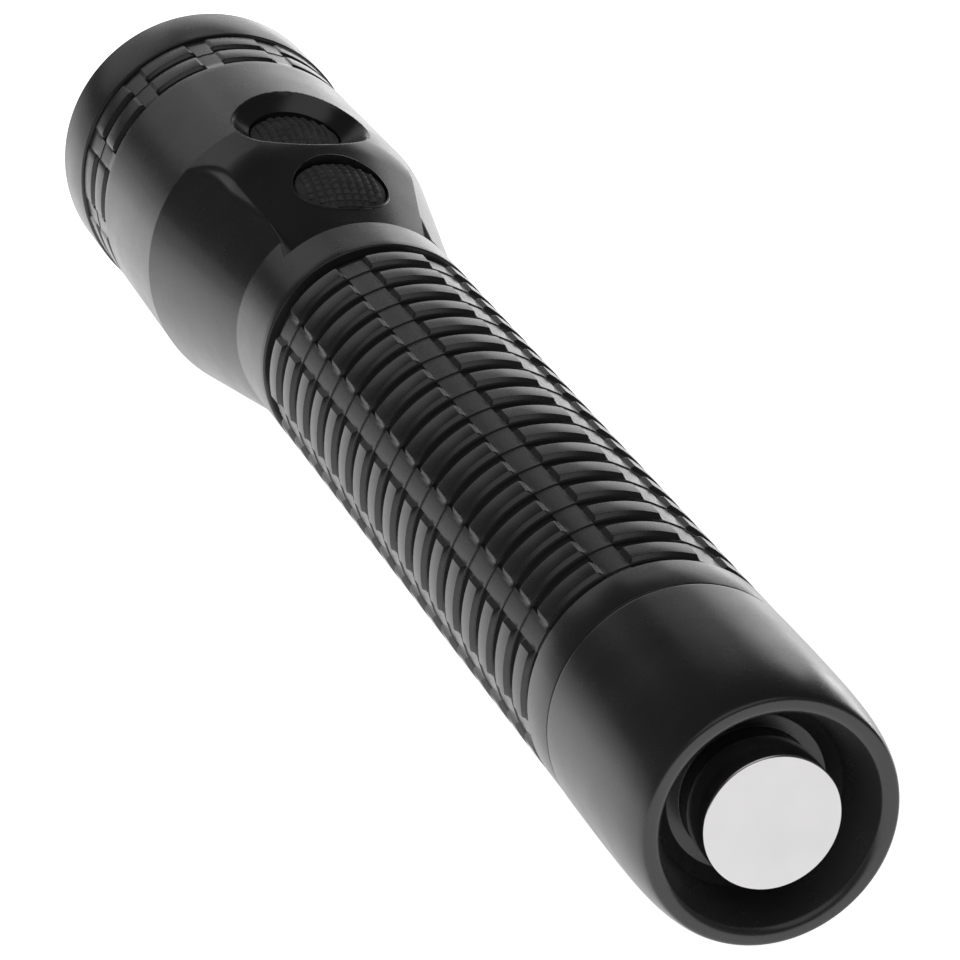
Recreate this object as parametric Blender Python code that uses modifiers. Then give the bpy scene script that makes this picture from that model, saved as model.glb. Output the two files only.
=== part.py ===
"""Large duty flashlight with a magnetic tail cap and two rubber push buttons.

Every part is turned or placed in an "axis frame": local +Z runs from the
tail rim (0) to the bezel, local -Y is the button side. The empty that
carries the frame lies down, so the light points along world +Y with its
buttons up. All lengths are in metres.
"""

import math

import bmesh
import bpy
from mathutils import Matrix, Vector

# ---- overall -------------------------------------------------------------
LENGTH = 0.280
GAP = 0.0003
SEG_LARGE = 48
SEG_MEDIUM = 32
SEG_BUTTON = 28
SEG_SMALL = 16

# ---- tail cap ------------------------------------------------------------
TAIL_RIM_R = 0.0175
TAIL_MOUTH_R = 0.0154
TAIL_WALL_R = 0.0128
TAIL_FLOOR_R = 0.0111
TAIL_CHAMFER_Z = 0.0081
TAIL_FLOOR_Z = 0.0097
TAIL_CAP_R = 0.01885
TAIL_CAP_EDGE = 0.0005
CAP_FLARE = 0.00132
CAP_FLARE_LENGTH = 0.0044
CAP_FLARE_HEIGHTS = (0.0090, 0.0050, 0.0020)
CAP_WIDEST_Z = 0.0170
TAIL_CAP_END_Z = 0.0348
TAIL_INNER_FLOOR_Z = 0.0122
TAIL_CHAMBER_R = 0.0145
BOSS_R = 0.0092
MAGNET_R = 0.00953
MAGNET_H = 0.00635
MAGNET_EDGE = 0.0004

# ---- barrel and its grip ---------------------------------------------------
BARREL_R = 0.0187
GRIP_BASE_R = 0.0179
GRIP_START_Z = 0.0432
GRIP_END_Z = 0.1723
RIB_COUNT = 17
RIB_PITCH = 0.007478
RIB_FOOT_Z = 0.1647
RIB_TOP = 0.0036
RIB_RISE = 0.0004
RIB_FALL = 0.0009
PANEL_COUNT = 8
CHANNEL_ANGLE = math.radians(13.5)
CHANNEL_FLOOR_R = 0.0178
CHANNEL_OVER = 0.002
CHANNEL_PAST = 0.001
BORE_R = 0.0142
NECK_R = 0.0163
NECK_TAIL_Z = 0.0222
NECK_HEAD_Z = 0.1812
SOCKET_R = 0.0168
SOCKET_TAIL_Z = 0.0212
ORING_SEAT_R = 0.0150
ORING_SEAT_HALF = 0.0010
ORING_R = 0.0159
ORING_WIRE = 0.0006
TAIL_ORING_Z = 0.0316
HEAD_ORING_Z = 0.1756

# ---- head housing ----------------------------------------------------------
COLLAR_TAIL_Z = 0.1726
COLLAR_R = 0.01875
COLLAR_STEP_Z = 0.1832
CONE_START_Z = 0.1882
CONE_END_Z = 0.2214
HEAD_R = 0.0245
HEAD_FRONT_R = 0.02415
HEAD_EDGE = 0.0004
CREST_DROP = 0.0001
CREST_WIDTH = 0.0020
BAND_START_Z = 0.2520
BAND_END_Z = 0.2665
BAND_R = 0.0240
BAND_FLOOR_R = 0.0233
BAND_BLOCKS = 12
BAND_NOTCH_ANGLE = math.radians(9.0)
BAND_NOTCH_H = 0.004
BAND_NOTCH_LIFT = 0.0001
BLOCK_START = 0.0027
BLOCK_RISE = 0.0006
BLOCK_GROOVE = 0.0002
SOCKET_HEAD_Z = 0.1815
CHAMBER_R = 0.0138
LAMP_BAY_Z = 0.2350
LAMP_BAY_R = 0.0209
HEAD_NECK_R = 0.0223
HEAD_NECK_Z = 0.2738

# ---- button pad, dish and holes ----------------------------------------------
PAD_REF_Z = 0.1982
PAD_REF_R = 0.02045
PAD_SLOPE = 0.235
PAD_EDGE_ANGLE = math.radians(40.0)
PAD_SIDE_ANGLE = math.radians(4.0)
PAD_SHOULDER_Z = 0.2108
PAD_SHOULDER_R = 0.0234
PAD_FRONT_Z = 0.2250
PAD_FRONT_R = 0.0243
PAD_BURIED = 0.0020
PAD_STEP_END_Z = 0.1992
PAD_STEP_END_R = 0.02095
PAD_ROOT_R = 0.0160
PAD_REACH = 0.0300
DISH_RADIUS = 0.01186
DISH_TAIL_RADIUS = 0.0154
DISH_HALF_WIDTH = 0.01407
DISH_LIFT = 0.0095
REAR_BUTTON_Z = 0.1983
REAR_BUTTON_H = 0.0202
REAR_BUTTON_TILT = math.atan(0.27)
FRONT_BUTTON_Z = 0.2248
FRONT_BUTTON_H = 0.0198
FRONT_BUTTON_TILT = math.atan(0.15)
BUTTON_HOLE_R = 0.0077
BUTTON_STEP_R = 0.0089
BUTTON_STEP_Z = -0.0050
HOLE_TOP_Z = 0.008
HOLE_END_Z = -0.0125
BUTTON_R = BUTTON_HOLE_R - GAP
BUTTON_EDGE_Z = -0.0014
BUTTON_CROWN = 0.0018
BUTTON_SKIN = 0.0013
BUTTON_UNDER_LIFT = 0.0003
BUTTON_FLANGE_R = 0.0086
BUTTON_FLANGE_H = 0.0009
BUTTON_POST_R = 0.0022
SWITCH_SIDE = 0.0076
SWITCH_TOP_Z = -0.0105
SWITCH_BASE_Z = -0.0146
SWITCH_POCKET_H = 0.012
PLUNGER_R = 0.0015
PLUNGER_TOP_Z = -0.0085
PLUNGER_END_Z = -0.0125
PLUNGER_WELL_Z = -0.0141

# ---- bezel and optics ------------------------------------------------------------
BEZEL_R = 0.0245
BEZEL_START_Z = 0.2669
BEZEL_BORE_R = 0.0227
BEZEL_LIP_R = 0.0195
BEZEL_LIP_Z = 0.2775
BEZEL_CHAMFER = 0.0010
BEZEL_EDGE = 0.0003
LIP_CHAMFER = 0.0012
LENS_R = 0.0218
LENS_START_Z = 0.2752
LENS_END_Z = 0.2772
GASKET_INNER_R = 0.0200
REFLECTOR_RIM_R = 0.0206
REFLECTOR_MOUTH_Z = 0.2735
REFLECTOR_FOCUS = 0.0026
REFLECTOR_WALL = 0.0012
REFLECTOR_THROAT_R = 0.0046
REFLECTOR_THROAT_LIFT = 0.0012
REFLECTOR_FLANGE = 0.0012
REFLECTOR_RINGS = 6
SINK_START_Z = 0.2354
SINK_END_Z = 0.2402
BOARD_R = 0.0100
BOARD_T = 0.0015
LED_SIDE = 0.0050
LED_BASE_H = 0.0008
LED_DOME_R = 0.0022
LED_DOME_SINK = 0.0002
LED_DOME_ROOT = 0.0003

# ---- power parts -----------------------------------------------------------------
CELL_R = 0.0131
CELL_L = 0.0653
CELL_REAR_Z = 0.0345
CELL_NUB_R = 0.0050
CELL_NUB_H = 0.0012
CELL_EDGE = 0.0006
SLEEVE_IN_R = 0.0134
SLEEVE_OUT_R = 0.0139
PLATE_R = 0.0125
PLATE_Z = TAIL_INNER_FLOOR_Z + GAP
PLATE_T = 0.0012
SPRING_WIRE = 0.0007
TAIL_COIL_WIDE_R = 0.0095
TAIL_COIL_NARROW_R = 0.0055
TAIL_COIL_TURNS = 5
FRONT_COIL_NARROW_R = 0.0038
FRONT_COIL_WIDE_R = 0.0060
FRONT_COIL_TURNS = 4
CONTACT_BOARD_Z = 0.1836
DRIVER_BOARD_Z = 0.1880
POWER_BOARD_T = 0.0016
CARRIER_START_Z = 0.1915
CARRIER_END_Z = 0.2330
CARRIER_HALF_W = 0.0093
CARRIER_TOP_H = 0.0088
CARRIER_BASE_H = -0.0030


# ---- scene set-up --------------------------------------------------------------------
def clear_scene():
    for obj in list(bpy.data.objects):
        bpy.data.objects.remove(obj, do_unlink=True)


def new_collection(name):
    coll = bpy.data.collections.new(name)
    bpy.context.scene.collection.children.link(coll)
    return coll


clear_scene()
PARTS = new_collection("duty_flashlight")
CUTTERS = new_collection("cutters")


def material(name, colour, roughness, metallic):
    mat = bpy.data.materials.new(name)
    mat.use_nodes = True
    shader = mat.node_tree.nodes["Principled BSDF"]
    shader.inputs["Base Color"].default_value = (*colour, 1.0)
    shader.inputs["Roughness"].default_value = roughness
    shader.inputs["Metallic"].default_value = metallic
    mat.diffuse_color = (*colour, 1.0)
    return mat


BLACK_METAL = material("black_anodised_aluminium", (0.018, 0.018, 0.019), 0.42, 0.6)
MAGNET_PLATE = material("nickel_plated_magnet", (0.82, 0.82, 0.84), 0.16, 1.0)
BUTTON_RUBBER = material("black_button_rubber", (0.022, 0.022, 0.022), 0.75, 0.0)
SEAL_RUBBER = material("seal_rubber", (0.012, 0.012, 0.012), 0.6, 0.0)
CLEAR_LENS = material("clear_polycarbonate", (0.86, 0.90, 0.93), 0.04, 0.0)
MIRROR = material("vacuum_metallised_mirror", (0.90, 0.90, 0.91), 0.05, 1.0)
RAW_ALUMINIUM = material("raw_aluminium", (0.62, 0.63, 0.65), 0.35, 1.0)
WHITE_BOARD = material("white_solder_mask", (0.80, 0.81, 0.80), 0.5, 0.0)
GREEN_BOARD = material("green_solder_mask", (0.02, 0.14, 0.06), 0.45, 0.0)
LED_RESIN = material("led_phosphor", (0.86, 0.72, 0.18), 0.25, 0.0)
CELL_WRAP = material("cell_wrap_blue", (0.03, 0.12, 0.30), 0.35, 0.0)
SLEEVE_CARD = material("insulating_sleeve", (0.55, 0.52, 0.44), 0.7, 0.0)
SPRING_STEEL = material("spring_steel", (0.70, 0.70, 0.68), 0.25, 1.0)
GOLD_PLATE = material("gilt_contact", (0.85, 0.64, 0.24), 0.22, 1.0)
DARK_PLASTIC = material("dark_moulded_plastic", (0.03, 0.03, 0.032), 0.5, 0.0)


def add_empty(name, parent, location, tilt):
    empty = bpy.data.objects.new(name, None)
    PARTS.objects.link(empty)
    empty.empty_display_size = 0.01
    empty.parent = parent
    empty.location = location
    empty.rotation_euler = (tilt, 0.0, 0.0)
    return empty


AXIS = add_empty("light_axis", None, (0.0, -LENGTH / 2, 0.0), -math.pi / 2)
REAR_SEAT = add_empty("rear_button_axis", AXIS,
                      (0.0, -REAR_BUTTON_H, REAR_BUTTON_Z), math.pi / 2 + REAR_BUTTON_TILT)
FRONT_SEAT = add_empty("front_button_axis", AXIS,
                       (0.0, -FRONT_BUTTON_H, FRONT_BUTTON_Z), math.pi / 2 + FRONT_BUTTON_TILT)


# ---- modelling helpers -----------------------------------------------------------------
def place(name, mesh, mat, parent, cutter=False):
    obj = bpy.data.objects.new(name, mesh)
    obj.parent = parent
    if cutter:
        CUTTERS.objects.link(obj)
        obj.hide_render = True
        obj.display_type = "WIRE"
    else:
        PARTS.objects.link(obj)
        mesh.materials.append(mat)
    return obj


def turned(name, profile, mat, steps=SEG_MEDIUM, parent=AXIS, closed=True, cutter=False,
           angle=math.tau):
    """Solid of revolution about local Z; profile is (radius, z), clockwise."""
    mesh = bpy.data.meshes.new(name)
    bm = bmesh.new()
    verts = [bm.verts.new((r, 0.0, z)) for r, z in profile]
    for first, second in zip(verts, verts[1:]):
        bm.edges.new((first, second))
    if closed:
        bm.edges.new((verts[-1], verts[0]))
    bm.to_mesh(mesh)
    bm.free()
    obj = place(name, mesh, mat, parent, cutter)
    screw = obj.modifiers.new("turn", "SCREW")
    screw.axis = "Z"
    screw.angle = angle
    screw.steps = steps
    screw.render_steps = steps
    screw.use_merge_vertices = True
    screw.merge_threshold = 0.00001
    screw.use_smooth_shade = True
    return obj


def box(name, size, centre, mat, parent=AXIS, cutter=False):
    mesh = bpy.data.meshes.new(name)
    bm = bmesh.new()
    bmesh.ops.create_cube(bm, size=1.0, matrix=Matrix.Diagonal((*size, 1.0)))
    bmesh.ops.translate(bm, verts=bm.verts, vec=Vector(centre))
    bm.to_mesh(mesh)
    bm.free()
    return place(name, mesh, mat, parent, cutter)


def combine(target, other, operation):
    modifier = target.modifiers.new(operation.lower(), "BOOLEAN")
    modifier.operation = operation
    modifier.solver = "EXACT"
    modifier.object = other


def soften(obj, degrees=35.0):
    """Bake the modifiers, then shade smooth with crisp edges kept."""
    bpy.context.view_layer.update()
    graph = bpy.context.evaluated_depsgraph_get()
    baked = bpy.data.meshes.new_from_object(obj.evaluated_get(graph), depsgraph=graph)
    baked.name = obj.name
    obj.modifiers.clear()
    obj.data = baked
    baked.shade_smooth()
    baked.set_sharp_from_angle(angle=math.radians(degrees))


def disc(name, radius, start, end, mat, steps=SEG_MEDIUM, edge=0.0, parent=AXIS):
    profile = [(0.0, end), (radius - edge, end), (radius, end - edge),
               (radius, start + edge), (radius - edge, start), (0.0, start)]
    if edge == 0.0:
        profile = [(0.0, end), (radius, end), (radius, start), (0.0, start)]
    return turned(name, profile, mat, steps, parent, closed=False)


def tube(name, inner, outer, start, end, mat, steps=SEG_MEDIUM, parent=AXIS, cutter=False):
    profile = [(inner, end), (outer, end), (outer, start), (inner, start)]
    return turned(name, profile, mat, steps, parent, cutter=cutter)


def ring(name, radius, wire, z, mat, steps=SEG_MEDIUM, sides=8):
    """O-ring: a small round section swept about the axis."""
    turn = math.tau / sides
    profile = [(radius + wire * math.cos(-i * turn), z + wire * math.sin(-i * turn))
               for i in range(sides)]
    return turned(name, profile, mat, steps)


def coil(name, radius_start, radius_end, z_start, z_end, turns, mat, per_turn=12):
    """Compression spring made from a bevelled curve with capped ends."""
    curve = bpy.data.curves.new(name, "CURVE")
    curve.dimensions = "3D"
    curve.bevel_depth = SPRING_WIRE
    curve.bevel_resolution = 2
    curve.use_fill_caps = True
    spline = curve.splines.new("POLY")
    count = turns * per_turn + 1
    spline.points.add(count - 1)
    for i, point in enumerate(spline.points):
        share = i / (count - 1)
        angle = share * turns * math.tau
        radius = radius_start + (radius_end - radius_start) * share
        z = z_start + (z_end - z_start) * share
        point.co = (radius * math.cos(angle), radius * math.sin(angle), z, 1.0)
    curve.materials.append(mat)
    obj = bpy.data.objects.new(name, curve)
    obj.parent = AXIS
    PARTS.objects.link(obj)
    return obj


# ---- tail cap, magnet and tail contact -----------------------------------------------
def build_tail():
    edge = TAIL_CAP_EDGE
    flare = [(TAIL_CAP_R - CAP_FLARE * math.exp(-z / CAP_FLARE_LENGTH), z) for z in CAP_FLARE_HEIGHTS]
    profile = [(SOCKET_R, TAIL_CAP_END_Z), (TAIL_CAP_R - edge, TAIL_CAP_END_Z),
               (TAIL_CAP_R - GAP / 3, TAIL_CAP_END_Z - edge), (TAIL_CAP_R, CAP_WIDEST_Z)]
    profile += flare
    profile += [(TAIL_RIM_R, edge), (TAIL_RIM_R - edge, 0.0), (TAIL_MOUTH_R + edge, 0.0),
                (TAIL_MOUTH_R, edge), (TAIL_WALL_R, TAIL_CHAMFER_Z),
                (TAIL_FLOOR_R, TAIL_FLOOR_Z), (BOSS_R, TAIL_FLOOR_Z),
                (BOSS_R, MAGNET_H + GAP), (0.0, MAGNET_H + GAP),
                (0.0, TAIL_INNER_FLOOR_Z), (TAIL_CHAMBER_R, TAIL_INNER_FLOOR_Z),
                (TAIL_CHAMBER_R, SOCKET_TAIL_Z), (SOCKET_R, SOCKET_TAIL_Z)]
    soften(turned("tail_cap", profile, BLACK_METAL, SEG_LARGE))
    soften(disc("tail_magnet", MAGNET_R, 0.0, MAGNET_H, MAGNET_PLATE, SEG_LARGE, MAGNET_EDGE))
    soften(disc("tail_contact_plate", PLATE_R, PLATE_Z, PLATE_Z + PLATE_T, GOLD_PLATE))
    bottom = PLATE_Z + PLATE_T + GAP + SPRING_WIRE
    coil("tail_spring", TAIL_COIL_WIDE_R, TAIL_COIL_NARROW_R, bottom, CELL_REAR_Z - GAP - SPRING_WIRE,
         TAIL_COIL_TURNS, SPRING_STEEL)


# ---- barrel, O-rings, sleeve and cells ----------------------------------------------------
def rib_profile():
    """Outer side of the grip from its head end down to its tail end."""
    points = []
    for k in range(RIB_COUNT):
        foot = RIB_FOOT_Z - k * RIB_PITCH
        points += [(GRIP_BASE_R, foot + RIB_TOP + RIB_FALL), (BARREL_R, foot + RIB_TOP),
                   (BARREL_R, foot + RIB_RISE), (GRIP_BASE_R, foot)]
    return points


def oring_seat(z):
    return [(NECK_R, z + ORING_SEAT_HALF), (ORING_SEAT_R, z + ORING_SEAT_HALF),
            (ORING_SEAT_R, z - ORING_SEAT_HALF), (NECK_R, z - ORING_SEAT_HALF)]


def channel_cutters():
    """Eight lengthwise channels between the rib panels, one joined cutter."""
    mesh = bpy.data.meshes.new("grip_channels")
    bm = bmesh.new()
    outer = BARREL_R + CHANNEL_OVER
    for i in range(PANEL_COUNT):
        middle = (i + 0.5) * math.tau / PANEL_COUNT
        low, high = middle - CHANNEL_ANGLE / 2, middle + CHANNEL_ANGLE / 2
        corners = [(CHANNEL_FLOOR_R, low), (outer, low), (outer, high), (CHANNEL_FLOOR_R, high)]
        verts = [bm.verts.new((r * math.cos(a), r * math.sin(a), GRIP_START_Z)) for r, a in corners]
        face = bm.faces.new(verts)
        grown = bmesh.ops.extrude_face_region(bm, geom=[face])
        moved = [v for v in grown["geom"] if isinstance(v, bmesh.types.BMVert)]
        bmesh.ops.translate(bm, verts=moved, vec=(0.0, 0.0, GRIP_END_Z + CHANNEL_PAST - GRIP_START_Z))
    bmesh.ops.recalc_face_normals(bm, faces=bm.faces)
    bm.to_mesh(mesh)
    bm.free()
    return place("grip_channels", mesh, None, AXIS, cutter=True)


def build_barrel():
    profile = [(BORE_R, NECK_HEAD_Z), (NECK_R, NECK_HEAD_Z)]
    profile += oring_seat(HEAD_ORING_Z)
    profile += [(NECK_R, GRIP_END_Z), (GRIP_BASE_R, GRIP_END_Z)]
    profile += rib_profile()
    profile += [(GRIP_BASE_R, GRIP_START_Z), (BARREL_R, GRIP_START_Z),
                (BARREL_R, TAIL_CAP_END_Z + GAP), (NECK_R, TAIL_CAP_END_Z + GAP)]
    profile += oring_seat(TAIL_ORING_Z)
    profile += [(NECK_R, NECK_TAIL_Z), (BORE_R, NECK_TAIL_Z)]
    barrel = turned("barrel", profile, BLACK_METAL, SEG_MEDIUM)
    combine(barrel, channel_cutters(), "DIFFERENCE")
    soften(barrel)
    soften(ring("tail_oring", ORING_R, ORING_WIRE, TAIL_ORING_Z, SEAL_RUBBER))
    soften(ring("head_oring", ORING_R, ORING_WIRE, HEAD_ORING_Z, SEAL_RUBBER))
    soften(tube("battery_sleeve", SLEEVE_IN_R, SLEEVE_OUT_R, NECK_TAIL_Z, NECK_HEAD_Z, SLEEVE_CARD))
    for name, start in (("battery_cell_rear", CELL_REAR_Z),
                        ("battery_cell_front", CELL_REAR_Z + CELL_L + GAP)):
        top = start + CELL_L
        shoulder = top - CELL_NUB_H
        profile = [(0.0, top), (CELL_NUB_R, top), (CELL_NUB_R, shoulder),
                   (CELL_R - CELL_EDGE, shoulder), (CELL_R, shoulder - CELL_EDGE),
                   (CELL_R, start + CELL_EDGE), (CELL_R - CELL_EDGE, start), (0.0, start)]
        soften(turned(name, profile, CELL_WRAP, SEG_MEDIUM, closed=False))


# ---- head housing ----------------------------------------------------------------------------
def pad_wedge(name, half_angle):
    """Prism from the light's axis out over the button side, half_angle either way."""
    mesh = bpy.data.meshes.new(name)
    bm = bmesh.new()
    reach = 2 * PAD_REACH
    across = reach * math.tan(half_angle)
    corners = [(0.0, 0.0), (across, -reach), (-across, -reach)]
    verts = [bm.verts.new((x, y, COLLAR_TAIL_Z)) for x, y in corners]
    face = bm.faces.new(verts)
    grown = bmesh.ops.extrude_face_region(bm, geom=[face])
    moved = [v for v in grown["geom"] if isinstance(v, bmesh.types.BMVert)]
    bmesh.ops.translate(bm, verts=moved, vec=(0.0, 0.0, BAND_START_Z - COLLAR_TAIL_Z))
    bmesh.ops.recalc_face_normals(bm, faces=bm.faces)
    bm.to_mesh(mesh)
    bm.free()
    return place(name, mesh, None, AXIS, cutter=True)


def pad_boss():
    """Raised switch boss, climbing more steeply than the cone it stands on."""
    start = PAD_REF_Z - PAD_BURIED
    profile = [(PAD_ROOT_R, PAD_FRONT_Z), (PAD_FRONT_R, PAD_FRONT_Z), (PAD_SHOULDER_R, PAD_SHOULDER_Z),
               (PAD_REF_R - PAD_SLOPE * PAD_BURIED, start), (PAD_ROOT_R, start)]
    boss = turned("switch_boss", profile, None, SEG_LARGE, cutter=True)
    combine(boss, pad_wedge("switch_boss_sides", PAD_EDGE_ANGLE), "INTERSECT")
    return boss


def pad_step():
    """Space over the low end of the boss, where it dives under the collar."""
    low = PAD_REF_R - PAD_SLOPE * (PAD_REF_Z - COLLAR_STEP_Z)
    profile = [(PAD_REACH, PAD_STEP_END_Z), (PAD_REACH, COLLAR_STEP_Z), (low, COLLAR_STEP_Z),
               (PAD_STEP_END_R, PAD_STEP_END_Z)]
    step = turned("switch_boss_step", profile, None, SEG_LARGE, cutter=True)
    combine(step, pad_wedge("switch_step_sides", PAD_EDGE_ANGLE + PAD_SIDE_ANGLE), "INTERSECT")
    return step


def dish_cutter():
    """Oval dish around the front button, longer towards the tail."""
    mesh = bpy.data.meshes.new("button_dish")
    bm = bmesh.new()
    bmesh.ops.create_uvsphere(bm, u_segments=36, v_segments=20, radius=1.0)
    bmesh.ops.scale(bm, vec=(DISH_HALF_WIDTH, DISH_RADIUS, DISH_RADIUS), verts=bm.verts)
    tail_side = [v for v in bm.verts if v.co.y < 0.0]
    bmesh.ops.scale(bm, vec=(1.0, DISH_TAIL_RADIUS / DISH_RADIUS, 1.0), verts=tail_side)
    bmesh.ops.translate(bm, verts=bm.verts, vec=(0.0, 0.0, DISH_LIFT))
    bm.to_mesh(mesh)
    bm.free()
    return place("button_dish", mesh, None, FRONT_SEAT, cutter=True)


def hole_cutter(name, seat):
    profile = [(0.0, HOLE_TOP_Z), (BUTTON_HOLE_R, HOLE_TOP_Z), (BUTTON_HOLE_R, BUTTON_STEP_Z),
               (BUTTON_STEP_R, BUTTON_STEP_Z), (BUTTON_STEP_R, HOLE_END_Z), (0.0, HOLE_END_Z)]
    return turned(name, profile, None, SEG_BUTTON, seat, closed=False, cutter=True)


def notch_cutters():
    """Twelve lengthwise notches across the rib band behind the bezel."""
    mesh = bpy.data.meshes.new("band_notches")
    bm = bmesh.new()
    width = 2 * BAND_R * math.sin(BAND_NOTCH_ANGLE / 2)
    length = BAND_END_Z - BAND_START_Z
    size = Matrix.Diagonal((BAND_NOTCH_H, width, length, 1.0))
    middle = (BAND_FLOOR_R + BAND_NOTCH_LIFT + BAND_NOTCH_H / 2, 0.0,
              BAND_START_Z + BAND_NOTCH_LIFT + length / 2)
    for i in range(BAND_BLOCKS):
        angle = (i + 0.5) * math.tau / BAND_BLOCKS
        cube = bmesh.ops.create_cube(bm, size=1.0, matrix=size)
        bmesh.ops.translate(bm, verts=cube["verts"], vec=middle)
        turn = Matrix.Rotation(angle, 3, "Z")
        bmesh.ops.rotate(bm, verts=cube["verts"], cent=(0.0, 0.0, 0.0), matrix=turn)
    bm.to_mesh(mesh)
    bm.free()
    return place("band_notches", mesh, None, AXIS, cutter=True)


def build_head():
    row = (BAND_END_Z - BAND_START_Z) / 2
    profile = [(LAMP_BAY_R, HEAD_NECK_Z), (HEAD_NECK_R, HEAD_NECK_Z), (HEAD_NECK_R, BAND_END_Z + GAP),
               (BAND_R, BAND_END_Z + GAP)]
    for start in (BAND_START_Z + row, BAND_START_Z):
        profile += [(BAND_R, start + row - BLOCK_GROOVE), (BAND_R, start + BLOCK_START),
                    (BAND_FLOOR_R, start + BLOCK_START - BLOCK_RISE), (BAND_FLOOR_R, start + BLOCK_GROOVE)]
    profile += [(HEAD_FRONT_R, BAND_START_Z - BLOCK_GROOVE), (HEAD_R, CONE_END_Z + CREST_WIDTH),
                (HEAD_R - CREST_DROP, CONE_END_Z), (COLLAR_R, CONE_START_Z),
                (COLLAR_R, COLLAR_TAIL_Z + HEAD_EDGE), (COLLAR_R - HEAD_EDGE, COLLAR_TAIL_Z),
                (SOCKET_R, COLLAR_TAIL_Z), (SOCKET_R, SOCKET_HEAD_Z),
                (CHAMBER_R, SOCKET_HEAD_Z), (CHAMBER_R, LAMP_BAY_Z), (LAMP_BAY_R, LAMP_BAY_Z)]
    head = turned("head_housing", profile, BLACK_METAL, SEG_LARGE)
    combine(head, notch_cutters(), "DIFFERENCE")
    combine(head, pad_step(), "DIFFERENCE")
    combine(head, pad_boss(), "UNION")
    combine(head, dish_cutter(), "DIFFERENCE")
    combine(head, hole_cutter("rear_button_hole", REAR_SEAT), "DIFFERENCE")
    combine(head, hole_cutter("front_button_hole", FRONT_SEAT), "DIFFERENCE")
    soften(head)


# ---- buttons and switches ------------------------------------------------------------------------
def build_button(side, seat):
    crown = [(BUTTON_R * share, BUTTON_EDGE_Z + BUTTON_CROWN * (1 - share ** 2))
             for share in (0.0, 0.35, 0.65, 0.88)]
    skirt_end = BUTTON_STEP_Z - GAP - BUTTON_FLANGE_H
    under = BUTTON_EDGE_Z - BUTTON_SKIN + BUTTON_UNDER_LIFT
    profile = crown + [(BUTTON_R, BUTTON_EDGE_Z), (BUTTON_R, BUTTON_STEP_Z - GAP),
                       (BUTTON_FLANGE_R, BUTTON_STEP_Z - GAP), (BUTTON_FLANGE_R, skirt_end),
                       (BUTTON_R - BUTTON_SKIN, skirt_end), (BUTTON_R - BUTTON_SKIN, under),
                       (BUTTON_POST_R, under), (BUTTON_POST_R, PLUNGER_TOP_Z + GAP),
                       (0.0, PLUNGER_TOP_Z + GAP)]
    soften(turned(side + "_button", profile, BUTTON_RUBBER, SEG_BUTTON, seat, closed=False))
    soften(turned(side + "_switch_plunger",
                  [(0.0, PLUNGER_TOP_Z), (PLUNGER_R, PLUNGER_TOP_Z), (PLUNGER_R, PLUNGER_END_Z),
                   (0.0, PLUNGER_END_Z)], SEAL_RUBBER, SEG_SMALL, seat, closed=False))
    height = SWITCH_TOP_Z - SWITCH_BASE_Z
    switch = box(side + "_switch", (SWITCH_SIDE, SWITCH_SIDE, height),
                 (0.0, 0.0, SWITCH_BASE_Z + height / 2), DARK_PLASTIC, seat)
    well = turned(side + "_switch_well",
                  [(0.0, 0.0), (PLUNGER_R + GAP, 0.0), (PLUNGER_R + GAP, PLUNGER_WELL_Z),
                   (0.0, PLUNGER_WELL_Z)], None, SEG_SMALL, seat, closed=False, cutter=True)
    combine(switch, well, "DIFFERENCE")
    soften(switch)


def build_switch_parts():
    build_button("rear", REAR_SEAT)
    build_button("front", FRONT_SEAT)
    length = CARRIER_END_Z - CARRIER_START_Z
    height = CARRIER_TOP_H - CARRIER_BASE_H
    carrier = box("switch_carrier", (2 * CARRIER_HALF_W, height, length),
                  (0.0, -(CARRIER_TOP_H + CARRIER_BASE_H) / 2, CARRIER_START_Z + length / 2), DARK_PLASTIC)
    for side, seat in (("rear", REAR_SEAT), ("front", FRONT_SEAT)):
        clear = SWITCH_SIDE + 2 * GAP
        pocket = box(side + "_switch_pocket", (clear, clear, SWITCH_POCKET_H),
                     (0.0, 0.0, SWITCH_BASE_Z - GAP + SWITCH_POCKET_H / 2), None, seat, cutter=True)
        combine(carrier, pocket, "DIFFERENCE")
    soften(carrier)
    for name, start in (("driver_board", DRIVER_BOARD_Z), ("contact_board", CONTACT_BOARD_Z)):
        soften(disc(name, CHAMBER_R - GAP, start, start + POWER_BOARD_T, GREEN_BOARD))
    cell_end = CELL_REAR_Z + 2 * CELL_L + GAP
    coil("front_contact_spring", FRONT_COIL_NARROW_R, FRONT_COIL_WIDE_R, cell_end + GAP + SPRING_WIRE,
         CONTACT_BOARD_Z - GAP - SPRING_WIRE, FRONT_COIL_TURNS, SPRING_STEEL)


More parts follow.
